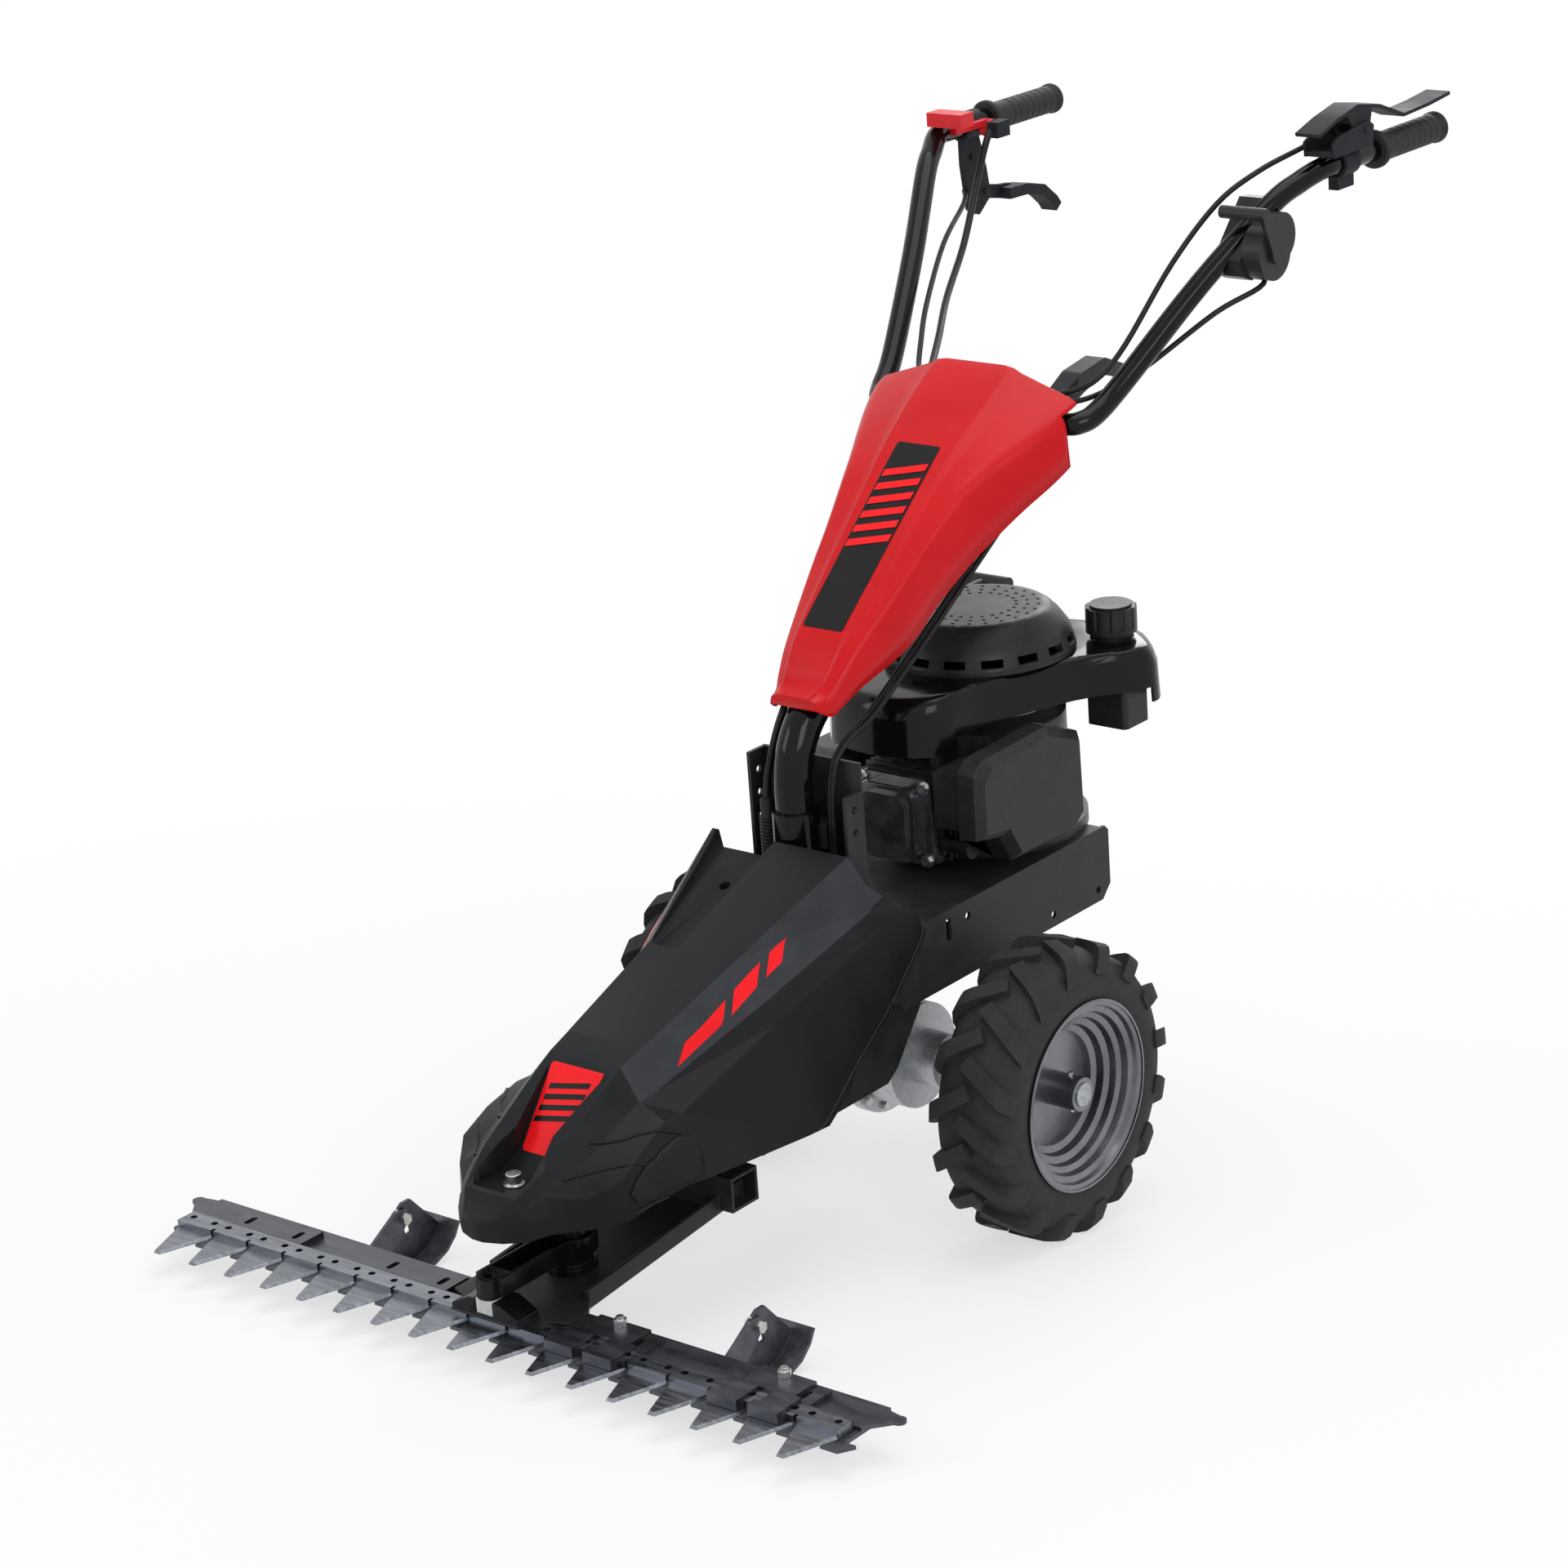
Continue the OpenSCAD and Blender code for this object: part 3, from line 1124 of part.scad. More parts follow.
// Cable stretches on the column, from under the cover to the hood, with the boot of the front cable
module lower_cables() color(black) placed() {
    for (d = [0, 8]) sweep(curve([[84 + d, 150, 566], [70 + d, 90, 512], [56 + d, 20, 452],
        [46 + d, -50, 400],
        [40 + d / 2, -84, 380], [36 + d / 2, -104, 350], [35 + d / 2, -109, 280],
            [35 + d / 2, -110, deck_z + 4.5]], 4), 3);
    sweep(curve([[-27, -68, 438], [-27, -88, 419], [-30, -106, 389], [-37, -117, 345],
        [-38, -121, 316]], 4), 4);
    translate([-38, -121, 0]) {
        upright(0, 0, deck_z + 4 + gap, 298, 9.5);
        upright(0, 0, 298, 318, 7.5);
    }
}

finger_bar();
knife();
knife_head();
slide_block();
hold_down_clips();
hold_down_bolts();
skid_brackets();
skid_runners();
skid_bolts();
carrier_tray();
rocker_bearing();
rocker_shaft();
rocker_arm();
knife_drive_housing();
knife_drive_shaft();
hood();
hood_bolt();
chassis_frame();
gearbox_housing();
gearbox_bolts();
axle();
rim_left();
rim_right();
tyre_left();
tyre_right();
hub_pins();
input_pulley();
drive_belt();
engine_block();
cylinder_head();
valve_cover();
valve_cover_bolts();
spark_plug();
carburettor();
air_filter_base();
air_filter_cover();
muffler();
crankshaft();
flywheel();
fan_shroud();
fuel_tank();
fuel_cap();
starter_dome();
starter_grip();
column_bracket();
handle_column();
column_cover();
bar_clamp();
clamp_lever();
handlebar();
grips();
clutch_bracket();
clutch_lever();
drive_lever_bracket();
drive_lever();
stop_lever();
throttle_box();
throttle_lever();
upper_cables();
lower_cables();
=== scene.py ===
import json
import math

import bmesh
import bpy
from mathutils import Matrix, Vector
from mathutils.bvhtree import BVHTree


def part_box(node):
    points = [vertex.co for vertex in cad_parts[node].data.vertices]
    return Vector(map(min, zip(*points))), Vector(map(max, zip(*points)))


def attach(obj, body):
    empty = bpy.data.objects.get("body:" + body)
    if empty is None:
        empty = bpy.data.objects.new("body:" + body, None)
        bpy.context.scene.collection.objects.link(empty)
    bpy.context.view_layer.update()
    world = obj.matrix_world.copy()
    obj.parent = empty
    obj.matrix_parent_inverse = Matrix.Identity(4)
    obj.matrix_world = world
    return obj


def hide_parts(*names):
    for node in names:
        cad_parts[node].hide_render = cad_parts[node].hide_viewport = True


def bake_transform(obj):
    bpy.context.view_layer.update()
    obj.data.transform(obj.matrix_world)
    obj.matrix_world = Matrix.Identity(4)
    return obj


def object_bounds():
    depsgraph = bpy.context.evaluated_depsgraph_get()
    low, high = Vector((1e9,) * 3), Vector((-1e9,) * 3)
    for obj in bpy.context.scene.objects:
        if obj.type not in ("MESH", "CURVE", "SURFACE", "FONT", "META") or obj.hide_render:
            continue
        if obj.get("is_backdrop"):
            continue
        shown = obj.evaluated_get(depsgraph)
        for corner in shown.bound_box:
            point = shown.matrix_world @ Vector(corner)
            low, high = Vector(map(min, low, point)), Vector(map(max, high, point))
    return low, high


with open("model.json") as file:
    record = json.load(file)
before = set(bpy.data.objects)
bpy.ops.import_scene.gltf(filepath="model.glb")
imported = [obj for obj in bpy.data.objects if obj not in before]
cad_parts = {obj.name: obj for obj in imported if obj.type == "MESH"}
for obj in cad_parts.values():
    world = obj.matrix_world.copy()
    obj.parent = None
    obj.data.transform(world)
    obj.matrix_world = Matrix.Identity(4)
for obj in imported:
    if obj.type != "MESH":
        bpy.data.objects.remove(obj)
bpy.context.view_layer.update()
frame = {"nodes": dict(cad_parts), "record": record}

# Studio: a white sweep under broad soft lamps, seen from the left front of the machine.
# The floor is matt paint; seen directly it is brightened so that it reads as white paper,
# and it still takes the machine's shadow.
scene = bpy.context.scene
scene.view_settings.view_transform = "Standard"
# Bearing of the camera round the machine and its angle above the floor
turn, tilt = math.radians(38.876), math.radians(14.662)
to_camera = Vector((math.sin(turn) * math.cos(tilt), -math.cos(turn) * math.cos(tilt), math.sin(tilt)))
lens = bpy.data.cameras.new("studio_camera")
lens.lens = 98.03
lens.sensor_width = 36
lens.clip_end = 100
camera = bpy.data.objects.new("studio_camera", lens)
camera.location = (2.6662, -3.4622, 1.5968)
camera.rotation_mode = "QUATERNION"
camera.rotation_quaternion = (-to_camera).to_track_quat("-Z", "Y")
scene.collection.objects.link(camera)
scene.camera = camera


def add(tree, kind, settings=(), links=()):
    node = tree.nodes.new(kind)
    for key, value in dict(settings).items():
        if hasattr(node, str(key)):
            setattr(node, key, value)
        else:
            node.inputs[key].default_value = value
    for key, source in dict(links).items():
        tree.links.new(source, node.inputs[key])
    return node


def linear(code):
    parts = [int(code[i:i + 2], 16) / 255 for i in (1, 3, 5)]
    return tuple(v / 12.92 if v <= 0.04045 else ((v + 0.055) / 1.055) ** 2.4 for v in parts) + (1.0,)


def seen_or_lit(tree):
    path = add(tree, "ShaderNodeLightPath")
    seen = add(tree, "ShaderNodeMath", {"operation": "MAXIMUM"},
               {0: path.outputs["Is Camera Ray"], 1: path.outputs["Is Glossy Ray"]})
    return add(tree, "ShaderNodeMath", {"operation": "MAXIMUM"},
               {0: seen.outputs[0], 1: path.outputs["Is Transmission Ray"]})


world = bpy.data.worlds.new("studio")
world.use_nodes = True
scene.world = world
sky = world.node_tree
sky.nodes.clear()
lit = add(sky, "ShaderNodeBackground", {"Color": linear("#f3f5f8"), "Strength": 0.55})
seen = add(sky, "ShaderNodeBackground", {"Color": linear("#ffffff"), "Strength": 1.0})
choice = add(sky, "ShaderNodeMixShader", {},
             {0: seen_or_lit(sky).outputs[0], 1: lit.outputs[0], 2: seen.outputs[0]})
add(sky, "ShaderNodeOutputWorld", {}, {"Surface": choice.outputs[0]})

paper = bpy.data.materials.new("white_studio_paper")
paper.use_nodes = True
tree = paper.node_tree
tree.nodes.clear()
matt = add(tree, "ShaderNodeBsdfDiffuse", {"Color": linear("#f2f2f3")})
bright = add(tree, "ShaderNodeEmission", {"Color": linear("#ffffff"), "Strength": 1.0})
spot = add(tree, "ShaderNodeTexCoord")
reach = add(tree, "ShaderNodeVectorMath", {"operation": "LENGTH"}, {0: spot.outputs["Object"]})
# Shadow shows within the first of these reaches, in metres, and is gone at the second
shadow_reach, white_reach, white_in_shadow = 0.5, 1.9, 0.64
fade = add(tree, "ShaderNodeMapRange", {"From Min": shadow_reach, "From Max": white_reach,
                                        "To Min": white_in_shadow, "To Max": 1.0},
           {"Value": reach.outputs["Value"]})
share = add(tree, "ShaderNodeMath", {"operation": "MULTIPLY"},
            {0: seen_or_lit(tree).outputs[0], 1: fade.outputs["Result"]})
both = add(tree, "ShaderNodeMixShader", {}, {0: share.outputs[0], 1: matt.outputs[0], 2: bright.outputs[0]})
add(tree, "ShaderNodeOutputMaterial", {}, {"Surface": both.outputs[0]})
floor_half = 40
sweep = bpy.data.meshes.new("studio_floor")
sweep.from_pydata([(x * floor_half, y * floor_half, 0) for x, y in ((-1, -1), (1, -1), (1, 1), (-1, 1))],
                  [], [(0, 1, 2, 3)])
sweep.materials.append(paper)
floor = bpy.data.objects.new("studio_floor", sweep)
scene.collection.objects.link(floor)
floor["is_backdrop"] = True
# Each lamp's name, place and aim, then its width in metres and its power
for name, place, aim, size, watts in (
        ("overhead_box", (0.3, 0.2, 3.6), (0, 0.1, 0.4), 2.6, 46),
        ("left_front_box", (3.4, -2.2, 2.2), (0, -0.1, 0.5), 1.9, 44),
        ("right_front_box", (-2.4, -3.4, 2.0), (0, -0.2, 0.4), 1.6, 26),
        ("rear_box", (-1.2, 3.2, 2.4), (0, 0.2, 0.7), 1.6, 40)):
    lamp = bpy.data.lights.new(name, "AREA")
    lamp.size = size
    lamp.energy = watts
    holder = bpy.data.objects.new(name, lamp)
    holder.location = place
    holder.rotation_mode = "QUATERNION"
    holder.rotation_quaternion = (Vector(aim) - Vector(place)).to_track_quat("-Z", "Y")
    scene.collection.objects.link(holder)


# Cutter bar: a coated flat bar with finger plate, the ground knife that slides on it, the forked
# knife head on its pale wear plate, and sprung clips that hold the knife down with plated bolts.

# A finish: colour and roughness drift in clouds of cloud_mm, and a grain of grain_mm dents it by
# depth_mm. Cells make the grain pebbled, and shine is how clearly a non-metal reflects.
def surface(name, low, high, cloud_mm, rough, spread=0.06, metal=0.0, coat=0.0, grain_mm=0.0,
            depth_mm=0.0, stretch=(1, 1, 1), cells=False, shine=0.2):
    material = bpy.data.materials.new(name)
    material.use_nodes = True
    tree = material.node_tree
    tree.nodes.clear()
    place = add(tree, "ShaderNodeTexCoord")
    drawn = add(tree, "ShaderNodeMapping", {"Scale": stretch}, {"Vector": place.outputs["Object"]})
    cloud = add(tree, "ShaderNodeTexNoise", {"Scale": 1000 / cloud_mm, "Detail": 5.0, "Roughness": 0.6},
                {"Vector": drawn.outputs[0]})
    tint = add(tree, "ShaderNodeValToRGB", {}, {"Fac": cloud.outputs["Fac"]})
    for stop, position, code in zip(tint.color_ramp.elements, (0.32, 0.68), (low, high)):
        stop.position = position
        stop.color = linear(code)
    sheen = add(tree, "ShaderNodeMapRange", {"From Min": 0.3, "From Max": 0.7, "To Min": rough - spread,
                                             "To Max": rough + spread}, {"Value": cloud.outputs["Fac"]})
    shader = add(tree, "ShaderNodeBsdfPrincipled",
                 {"Metallic": metal, "Coat Weight": coat, "Coat Roughness": 0.06,
                  "Specular IOR Level": 0.5 if metal else shine},
                 {"Base Color": tint.outputs["Color"], "Roughness": sheen.outputs["Result"]})
    if depth_mm:
        if cells:
            grain = add(tree, "ShaderNodeTexVoronoi", {"Scale": 1000 / grain_mm},
                        {"Vector": drawn.outputs[0]})
            height = grain.outputs["Distance"]
        else:
            grain = add(tree, "ShaderNodeTexNoise", {"Scale": 1000 / grain_mm, "Detail": 3.0},
                        {"Vector": drawn.outputs[0]})
            height = grain.outputs["Fac"]
        dents = add(tree, "ShaderNodeBump", {"Strength": 0.6, "Distance": depth_mm / 1000},
                    {"Height": height})
        tree.links.new(dents.outputs["Normal"], shader.inputs["Normal"])
    add(tree, "ShaderNodeOutputMaterial", {}, {"Surface": shader.outputs[0]})
    return material


bodies = frame["record"]["behaviour"]["bodies"]
carrier = {node: body for body, nodes in bodies.items() for node in nodes}
slot_of = {part["node"]: part["material_slot"] for part in frame["record"]["subparts"]}


def mounted(name, mesh, material, body, slot, *nodes):
    mesh.materials.clear()
    mesh.materials.append(material)
    piece = bpy.data.objects.new(name, mesh)
    scene.collection.objects.link(piece)
    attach(piece, body)
    if nodes:
        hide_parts(*nodes)
    return piece


# Points nearer than the weld gap, in metres, are one point, and faces that lean less than the flat
# angle are one face. Shading breaks at a slightly wider angle than edges do.
weld_gap, flat_angle, shade_margin = 2e-5, 0.4, 8


# A solid of the frame taken over with its edges broken, as a filed, cast or moulded edge is. Only
# edges whose neighbours are longer than room_mm are broken, so that wide edges find their place.
def edged(node, material, edge_mm=0.7, sharp=28, steps=2, room_mm=0.0, soft=0):
    shape = bmesh.new()
    shape.from_mesh(frame["nodes"][node].data)
    bmesh.ops.remove_doubles(shape, verts=shape.verts, dist=weld_gap)
    bmesh.ops.dissolve_limit(shape, angle_limit=math.radians(flat_angle), verts=shape.verts,
                             edges=shape.edges)
    if edge_mm:
        corners = [e for e in shape.edges
                   if len(e.link_faces) == 2 and e.calc_face_angle(0) > math.radians(sharp)
                   and min(near.calc_length() for v in e.verts for near in v.link_edges) > room_mm / 1000]
        bmesh.ops.bevel(shape, geom=corners, offset=edge_mm / 1000, segments=steps, profile=0.5,
                        affect="EDGES", clamp_overlap=True)
    bmesh.ops.triangulate(shape, faces=[f for f in shape.faces if len(f.verts) > 4])
    mesh = bpy.data.meshes.new(node + "_finished")
    shape.to_mesh(mesh)
    shape.free()
    for face in mesh.polygons:
        face.use_smooth = True
    mesh.set_sharp_from_angle(angle=math.radians(soft or sharp + shade_margin))
    piece = mounted(node + "_finished", mesh, material, carrier[node], slot_of[node], node)
    even = piece.modifiers.new("even_shading", "WEIGHTED_NORMAL")
    even.keep_sharp = True
    return piece


# A solid of the frame that keeps its mesh and gets its finish
def painted(material, *nodes):
    for node in nodes:
        mesh = frame["nodes"][node].data
        mesh.materials.clear()
        mesh.materials.append(material)


# Black phosphated and oiled bar steel: dull, with a faint mill streak along the bar. Like the other
# grains below, the streak is drawn coarser than the real one, so that it shows.
bar_steel = surface("black_oiled_bar_steel", "#4a4b50", "#606268", 14, 0.36, metal=0.9, grain_mm=0.8,
                    depth_mm=0.05, stretch=(0.25, 1, 1))
# Ground knife steel: bright, with fine lines along the stroke
knife_steel = surface("ground_knife_steel", "#6d7076", "#8e9299", 5, 0.3, metal=1.0, grain_mm=0.7,
                      depth_mm=0.03, stretch=(0.12, 1, 1))
# Blue-white zinc plating: mottled, half bright
zinc = surface("zinc_plated_steel", "#a6a8a6", "#d2d3d0", 4, 0.32, metal=1.0, grain_mm=0.6, depth_mm=0.02)
# Sprayed enamel on the drive pieces: deep black with slight orange peel
enamel = surface("black_enamel", "#0d0d0e", "#17181a", 40, 0.22, grain_mm=2.2, depth_mm=0.03)
# Acetal wear plastic: pale, waxy
acetal = surface("pale_acetal", "#c9cac6", "#dedfda", 8, 0.38, grain_mm=0.8, depth_mm=0.02)
edged("finger_bar", bar_steel, 0.9)
edged("knife", knife_steel, 0.35)
edged("knife_head", enamel, 1.0)
edged("slide_block", acetal, 0.6)
edged("hold_down_clips", bar_steel, 1.0)
edged("hold_down_bolts", zinc, 0.5)


# Skids: bent sheet runners on lugs under the bar, set for height by a bolt in an arc slot.
# The sheet is the same dark coated steel; the runner soles are rubbed brighter.
worn_sole = surface("rubbed_skid_steel", "#3c3d41", "#5b5d62", 18, 0.42, metal=0.7, grain_mm=1.0,
                    depth_mm=0.05)
edged("skid_brackets", bar_steel, 0.7)
edged("skid_runners", worn_sole, 0.7)
edged("skid_bolts", zinc, 0.4)


# Carrier tray and knife drive: a folded and welded tray that carries the bar, the rocker shaft in
# its foot bearing, the channel-section rocker arm and the cast housing with its drive tube.
# Baked powder coat: satin, with a fine orange peel
powder_coat = surface("satin_black_powder_coat", "#222326", "#2f3033", 30, 0.42, grain_mm=1.3, depth_mm=0.06)
# Painted iron casting: dull and rough, the skin of the mould under the paint
dark_casting = surface("dark_painted_casting", "#26272a", "#37383c", 9, 0.5, metal=0.3, grain_mm=1.6,
                       depth_mm=0.12)
# Turned bar steel: half bright
turned_steel = surface("turned_steel", "#8f9296", "#b7babf", 6, 0.3, metal=1.0, grain_mm=0.5, depth_mm=0.02)
edged("carrier_tray", powder_coat, 1.2)
edged("rocker_bearing", enamel, 0.8)
edged("rocker_shaft", enamel, 0.8)
edged("rocker_arm", enamel, 1.2)
edged("knife_drive_housing", dark_casting, 1.5)
painted(turned_steel, "knife_drive_shaft")


# Chassis and gearbox: welded plate frame with deck, and a sand-cast aluminium gearbox split on the
# centre plane, its halves drawn together by a ring of plated bolts.
# Sand-cast aluminium: pale, with the grain of the sand
sand_casting = surface("sand_cast_aluminium", "#b4b7ba", "#d3d5d8", 7, 0.48, metal=0.85, grain_mm=1.5,
                       depth_mm=0.14)
edged("chassis_frame", powder_coat, 0.8)
edged("gearbox_housing", sand_casting, 1.5)
edged("gearbox_bolts", zinc, 0.4)
painted(turned_steel, "input_pulley", "crankshaft")
# Belt rubber with a cloth skin: black and dull
belt_rubber = surface("belt_rubber", "#161617", "#202021", 6, 0.72, grain_mm=0.8, depth_mm=0.05)
painted(belt_rubber, "drive_belt")


# Wheels: pressed steel rims in silver-grey paint on hub tubes pinned to the axle, with moulded
# rubber tyres whose swept lugs run over onto the shoulder.
# Silver paint: metal flakes under a thin clear coat
rim_paint = surface("silver_rim_paint", "#64656a", "#838488", 60, 0.27, metal=0.95, coat=0.2, grain_mm=0.9,
                    depth_mm=0.02)
# Moulded tyre rubber: dark grey and dull, paler where it is scuffed
tyre_rubber = surface("moulded_tyre_rubber", "#2a2a2b", "#353536", 22, 0.68, grain_mm=1.2, depth_mm=0.08)
edged("axle", turned_steel, 0.6)
edged("hub_pins", zinc, 0.3)
for side in ("left", "right"):
    edged("rim_" + side, rim_paint, 0.8, sharp=24)
    edged("tyre_" + side, tyre_rubber, 1.8, sharp=30, steps=3)


# Engine below the shroud: die-cast block and head with fins, a dark bright-rolled valve cover with
# corner bolts, spark plug, carburettor, filter box and muffler.
# Die-cast alloy, tinted dark: half dull
block_alloy = surface("dark_die_casting", "#2d2e31", "#434548", 10, 0.44, metal=0.6, grain_mm=1.2,
                      depth_mm=0.08)
# Rolled and lacquered casting: dark and bright, with soft dents
valve_metal = surface("polished_dark_casting", "#37383b", "#56585c", 25, 0.14, metal=0.45, coat=0.3,
                      grain_mm=3.0, depth_mm=0.04)
# Moulded nylon from an etched tool: satin black
satin_moulding = surface("satin_black_moulding", "#202124", "#2b2c2f", 26, 0.38, grain_mm=1.0, depth_mm=0.05)
# Heat-proof paint: grey and chalky
muffler_paint = surface("heat_proof_paint", "#3f4144", "#55575a", 12, 0.62, metal=0.3, grain_mm=1.2,
                        depth_mm=0.1)
# Soft moulded rubber: black, half dull
plug_rubber = surface("plug_cap_rubber", "#151516", "#1f1f20", 9, 0.5, grain_mm=0.8, depth_mm=0.04)
edged("engine_block", block_alloy, 0.8)
edged("cylinder_head", block_alloy, 1.0)
edged("valve_cover", valve_metal, 3.0, steps=3)
edged("valve_cover_bolts", zinc, 0.5)
edged("spark_plug", plug_rubber, 1.0)
edged("carburettor", sand_casting, 1.2)
edged("air_filter_base", satin_moulding, 2.0, steps=3)
edged("air_filter_cover", satin_moulding, 3.0, sharp=18, steps=3)
edged("muffler", muffler_paint, 1.0)
painted(sand_casting, "flywheel")


# Top of the engine: gloss black shroud with the tank under it, fluted cap, and the perforated
# starter dome with its pull handle. All are injection mouldings.
# Moulding from a polished tool: deep black, mirror bright, with slow waves
gloss_moulding = surface("gloss_black_moulding", "#0b0b0c", "#121213", 45, 0.13, spread=0.03, grain_mm=4.0,
                         depth_mm=0.02)
edged("fan_shroud", gloss_moulding, 0.8, sharp=40)
edged("fuel_tank", satin_moulding, 1.5)
edged("fuel_cap", satin_moulding, 1.0)
edged("starter_dome", satin_moulding, edge_mm=0, sharp=30)
edged("starter_grip", satin_moulding, 2.0, sharp=30, steps=3)


# Handle column: bent steel tube in gloss black paint, stood in a foot sleeve and held by two saddles
# on a folded bracket. Places are given in millimetres from the axle centre, square to the deck.
joint = {j["name"]: j for j in frame["record"]["behaviour"]["joints"]}
axle_centre = Vector(joint["wheel_spin"]["pos_m"])
across = Vector((1, 0, 0))
deck_up = Vector(joint["crank_spin"]["axis"]).normalized()
rearward = deck_up.cross(across)


def machine(x, y, z):
    return axle_centre + (across * x + rearward * y + deck_up * z) / 1000


# A curve through the given points, with so many steps from each to the next
def smooth(points, steps):
    line = []
    for i in range(len(points) - 1):
        a, b, c, d = (points[min(max(i + k, 0), len(points) - 1)] for k in (-1, 0, 1, 2))
        for t in (k / steps for k in range(steps)):
            line.append(0.5 * (2 * b + t * (c - a) + t * t * (2 * a - 5 * b + 4 * c - d)
                               + t ** 3 * (3 * b - a - 3 * c + d)))
    return line + [points[-1]]


# Round bar bent along a line, its ring carried along without twist; radii may change from end to end.
# The first ring is turned from a direction that no line here runs along.
def bent(name, routes, sides):
    shape = bmesh.new()
    for line, radius in routes:
        sizes = radius if isinstance(radius, list) else [radius] * len(line)
        side = Vector((0.31, 0.17, 0.94))
        rings = []
        for i, (point, size) in enumerate(zip(line, sizes)):
            way = (line[min(i + 1, len(line) - 1)] - line[max(i - 1, 0)]).normalized()
            side = (side - way * side.dot(way)).normalized()
            over = way.cross(side)
            rings.append([shape.verts.new(point + size * (math.cos(a) * side + math.sin(a) * over))
                          for a in (2 * math.pi * k / sides for k in range(sides))])
        for low_ring, high_ring in zip(rings, rings[1:]):
            for k in range(sides):
                after = (k + 1) % sides
                shape.faces.new((low_ring[k], low_ring[after], high_ring[after], high_ring[k]))
        shape.faces.new(reversed(rings[0]))
        shape.faces.new(rings[-1])
    mesh = bpy.data.meshes.new(name)
    shape.to_mesh(mesh)
    shape.free()
    for face in mesh.polygons:
        face.use_smooth = True
    mesh.set_sharp_from_angle(angle=math.radians(45))
    return mesh


# Wet paint on steel tube: deep black and mirror bright
tube_paint = surface("gloss_black_tube_paint", "#070708", "#0d0d0e", 50, 0.11, spread=0.03, grain_mm=3.0,
                     depth_mm=0.02)
edged("column_bracket", powder_coat, 1.0)
column_radius, sleeve_radius, lip_radius = 0.0205, 0.02495, 0.0236
foot_y = -122
column_line = [machine(0, y, z) for y, z in ((foot_y, 191), (foot_y, 250), (foot_y, 300), (foot_y, 338),
                                             (-116, 370), (-100, 397), (-74, 420), (-30, 457), (40, 514.8),
                                             (188, 637))]
column_mesh = bent("handle_column_finished", [
    (smooth(column_line, 5), column_radius),
    ([machine(0, foot_y, z) for z in (190.2, 311)], sleeve_radius),
    ([machine(0, foot_y, z) for z in (308, 312)], lip_radius)], 40)
mounted("handle_column_finished", column_mesh, tube_paint, "machine", slot_of["handle_column"],
        "handle_column")


# Column cover: one gloss red ABS moulding, open below, with a ridge along each side of its flat top,
# round shoulders and a printed black panel with red bars stuck on the flat.
# ABS from a polished tool: clear red, gloss, with slow waves
red_abs = surface("gloss_red_abs", "#c40d14", "#ce141b", 70, 0.34, spread=0.04, grain_mm=3.5, depth_mm=0.02)
cover_wall = 3.0
# Distance behind the axle, then top edge, shoulder and lower edge as (half width, height)
cover_rows = ((-113, (18, 431), (29, 428), (31, 419)), (-98, (20, 440), (35, 431), (38, 411)),
              (-84, (22, 459), (41, 446), (44, 420)), (-61, (24, 486), (48, 471), (51, 434)),
              (0, (26, 537), (62, 527), (66, 461)), (44, (27, 574), (70, 567), (75, 497)),
              (87, (28, 610), (80, 605), (88, 531)), (120, (30, 637), (92, 625), (101, 555)),
              (150, (32, 658), (105, 641), (114, 576)), (185, (35, 681), (121, 656), (128, 597)),
              (215, (37, 698), (132, 668), (135, 616)), (229, (38, 704), (134, 673), (136, 638)))


# Points of a corner rounded off between its neighbours, over at most 0.45 of either side
def rounded_corner(before, corner, after, radius, steps):
    start = corner + (before - corner).normalized() * min(radius, 0.45 * (before - corner).length)
    end = corner + (after - corner).normalized() * min(radius, 0.45 * (after - corner).length)
    return [start.lerp(corner, k / steps).lerp(corner.lerp(end, k / steps), k / steps)
            for k in range(steps + 1)]


# The crease under the ridge, as a share of the way to the shoulder, draws in towards the rear
crease_share, crease_from, crease_fall = 0.24, 100, 0.0009
ridge_lip = Vector((0, -1.0, 2.2))
lip_round, shoulder_round, crease_angle = 1.4, 16, 34
rails = [smooth([Vector((row[k][0], row[0], row[k][1])) for row in cover_rows], 6) for k in (1, 2, 3)]
shape = bmesh.new()
sections = []
for ridge, shoulder, edge in zip(*rails):
    middle = Vector((0, ridge.y, ridge.z))
    crease = ridge.lerp(shoulder, crease_share - crease_fall * max(0, ridge.y - crease_from))
    # Half of the section from the middle out, its points at shares of the way along each stretch
    half = [middle, middle.lerp(ridge, 0.7), ridge]
    half += rounded_corner(ridge, crease + ridge_lip, crease.lerp(shoulder, 0.1), lip_round, 3)
    half += [crease.lerp(shoulder, t) for t in (0.12, 0.3, 0.45)]
    half += rounded_corner(crease.lerp(shoulder, 0.5), shoulder, edge, shoulder_round, 7)
    half += [shoulder.lerp(edge, 0.6), edge]
    whole = [Vector((-p.x, p.y, p.z)) for p in reversed(half[1:])] + half
    sections.append([shape.verts.new(machine(*p)) for p in whole])
# The sides are left open at the rear, where the handlebar comes out
window_from, window_faces = 205, 6
for front, rear, station in zip(sections, sections[1:], rails[0]):
    cut = window_faces if station.y >= window_from else 0
    for k in range(cut, len(front) - 1 - cut):
        shape.faces.new((front[k], front[k + 1], rear[k + 1], rear[k]))
bmesh.ops.delete(shape, geom=[v for v in shape.verts if not v.link_faces], context="VERTS")
shape.faces.new(list(reversed(sections[0])))
bmesh.ops.recalc_face_normals(shape, faces=shape.faces)
if max(shape.faces, key=lambda f: f.calc_center_median().z).normal.z < 0:
    bmesh.ops.reverse_faces(shape, faces=shape.faces)
outer_skin = BVHTree.FromBMesh(shape)
cover_mesh = bpy.data.meshes.new("column_cover_finished")
shape.to_mesh(cover_mesh)
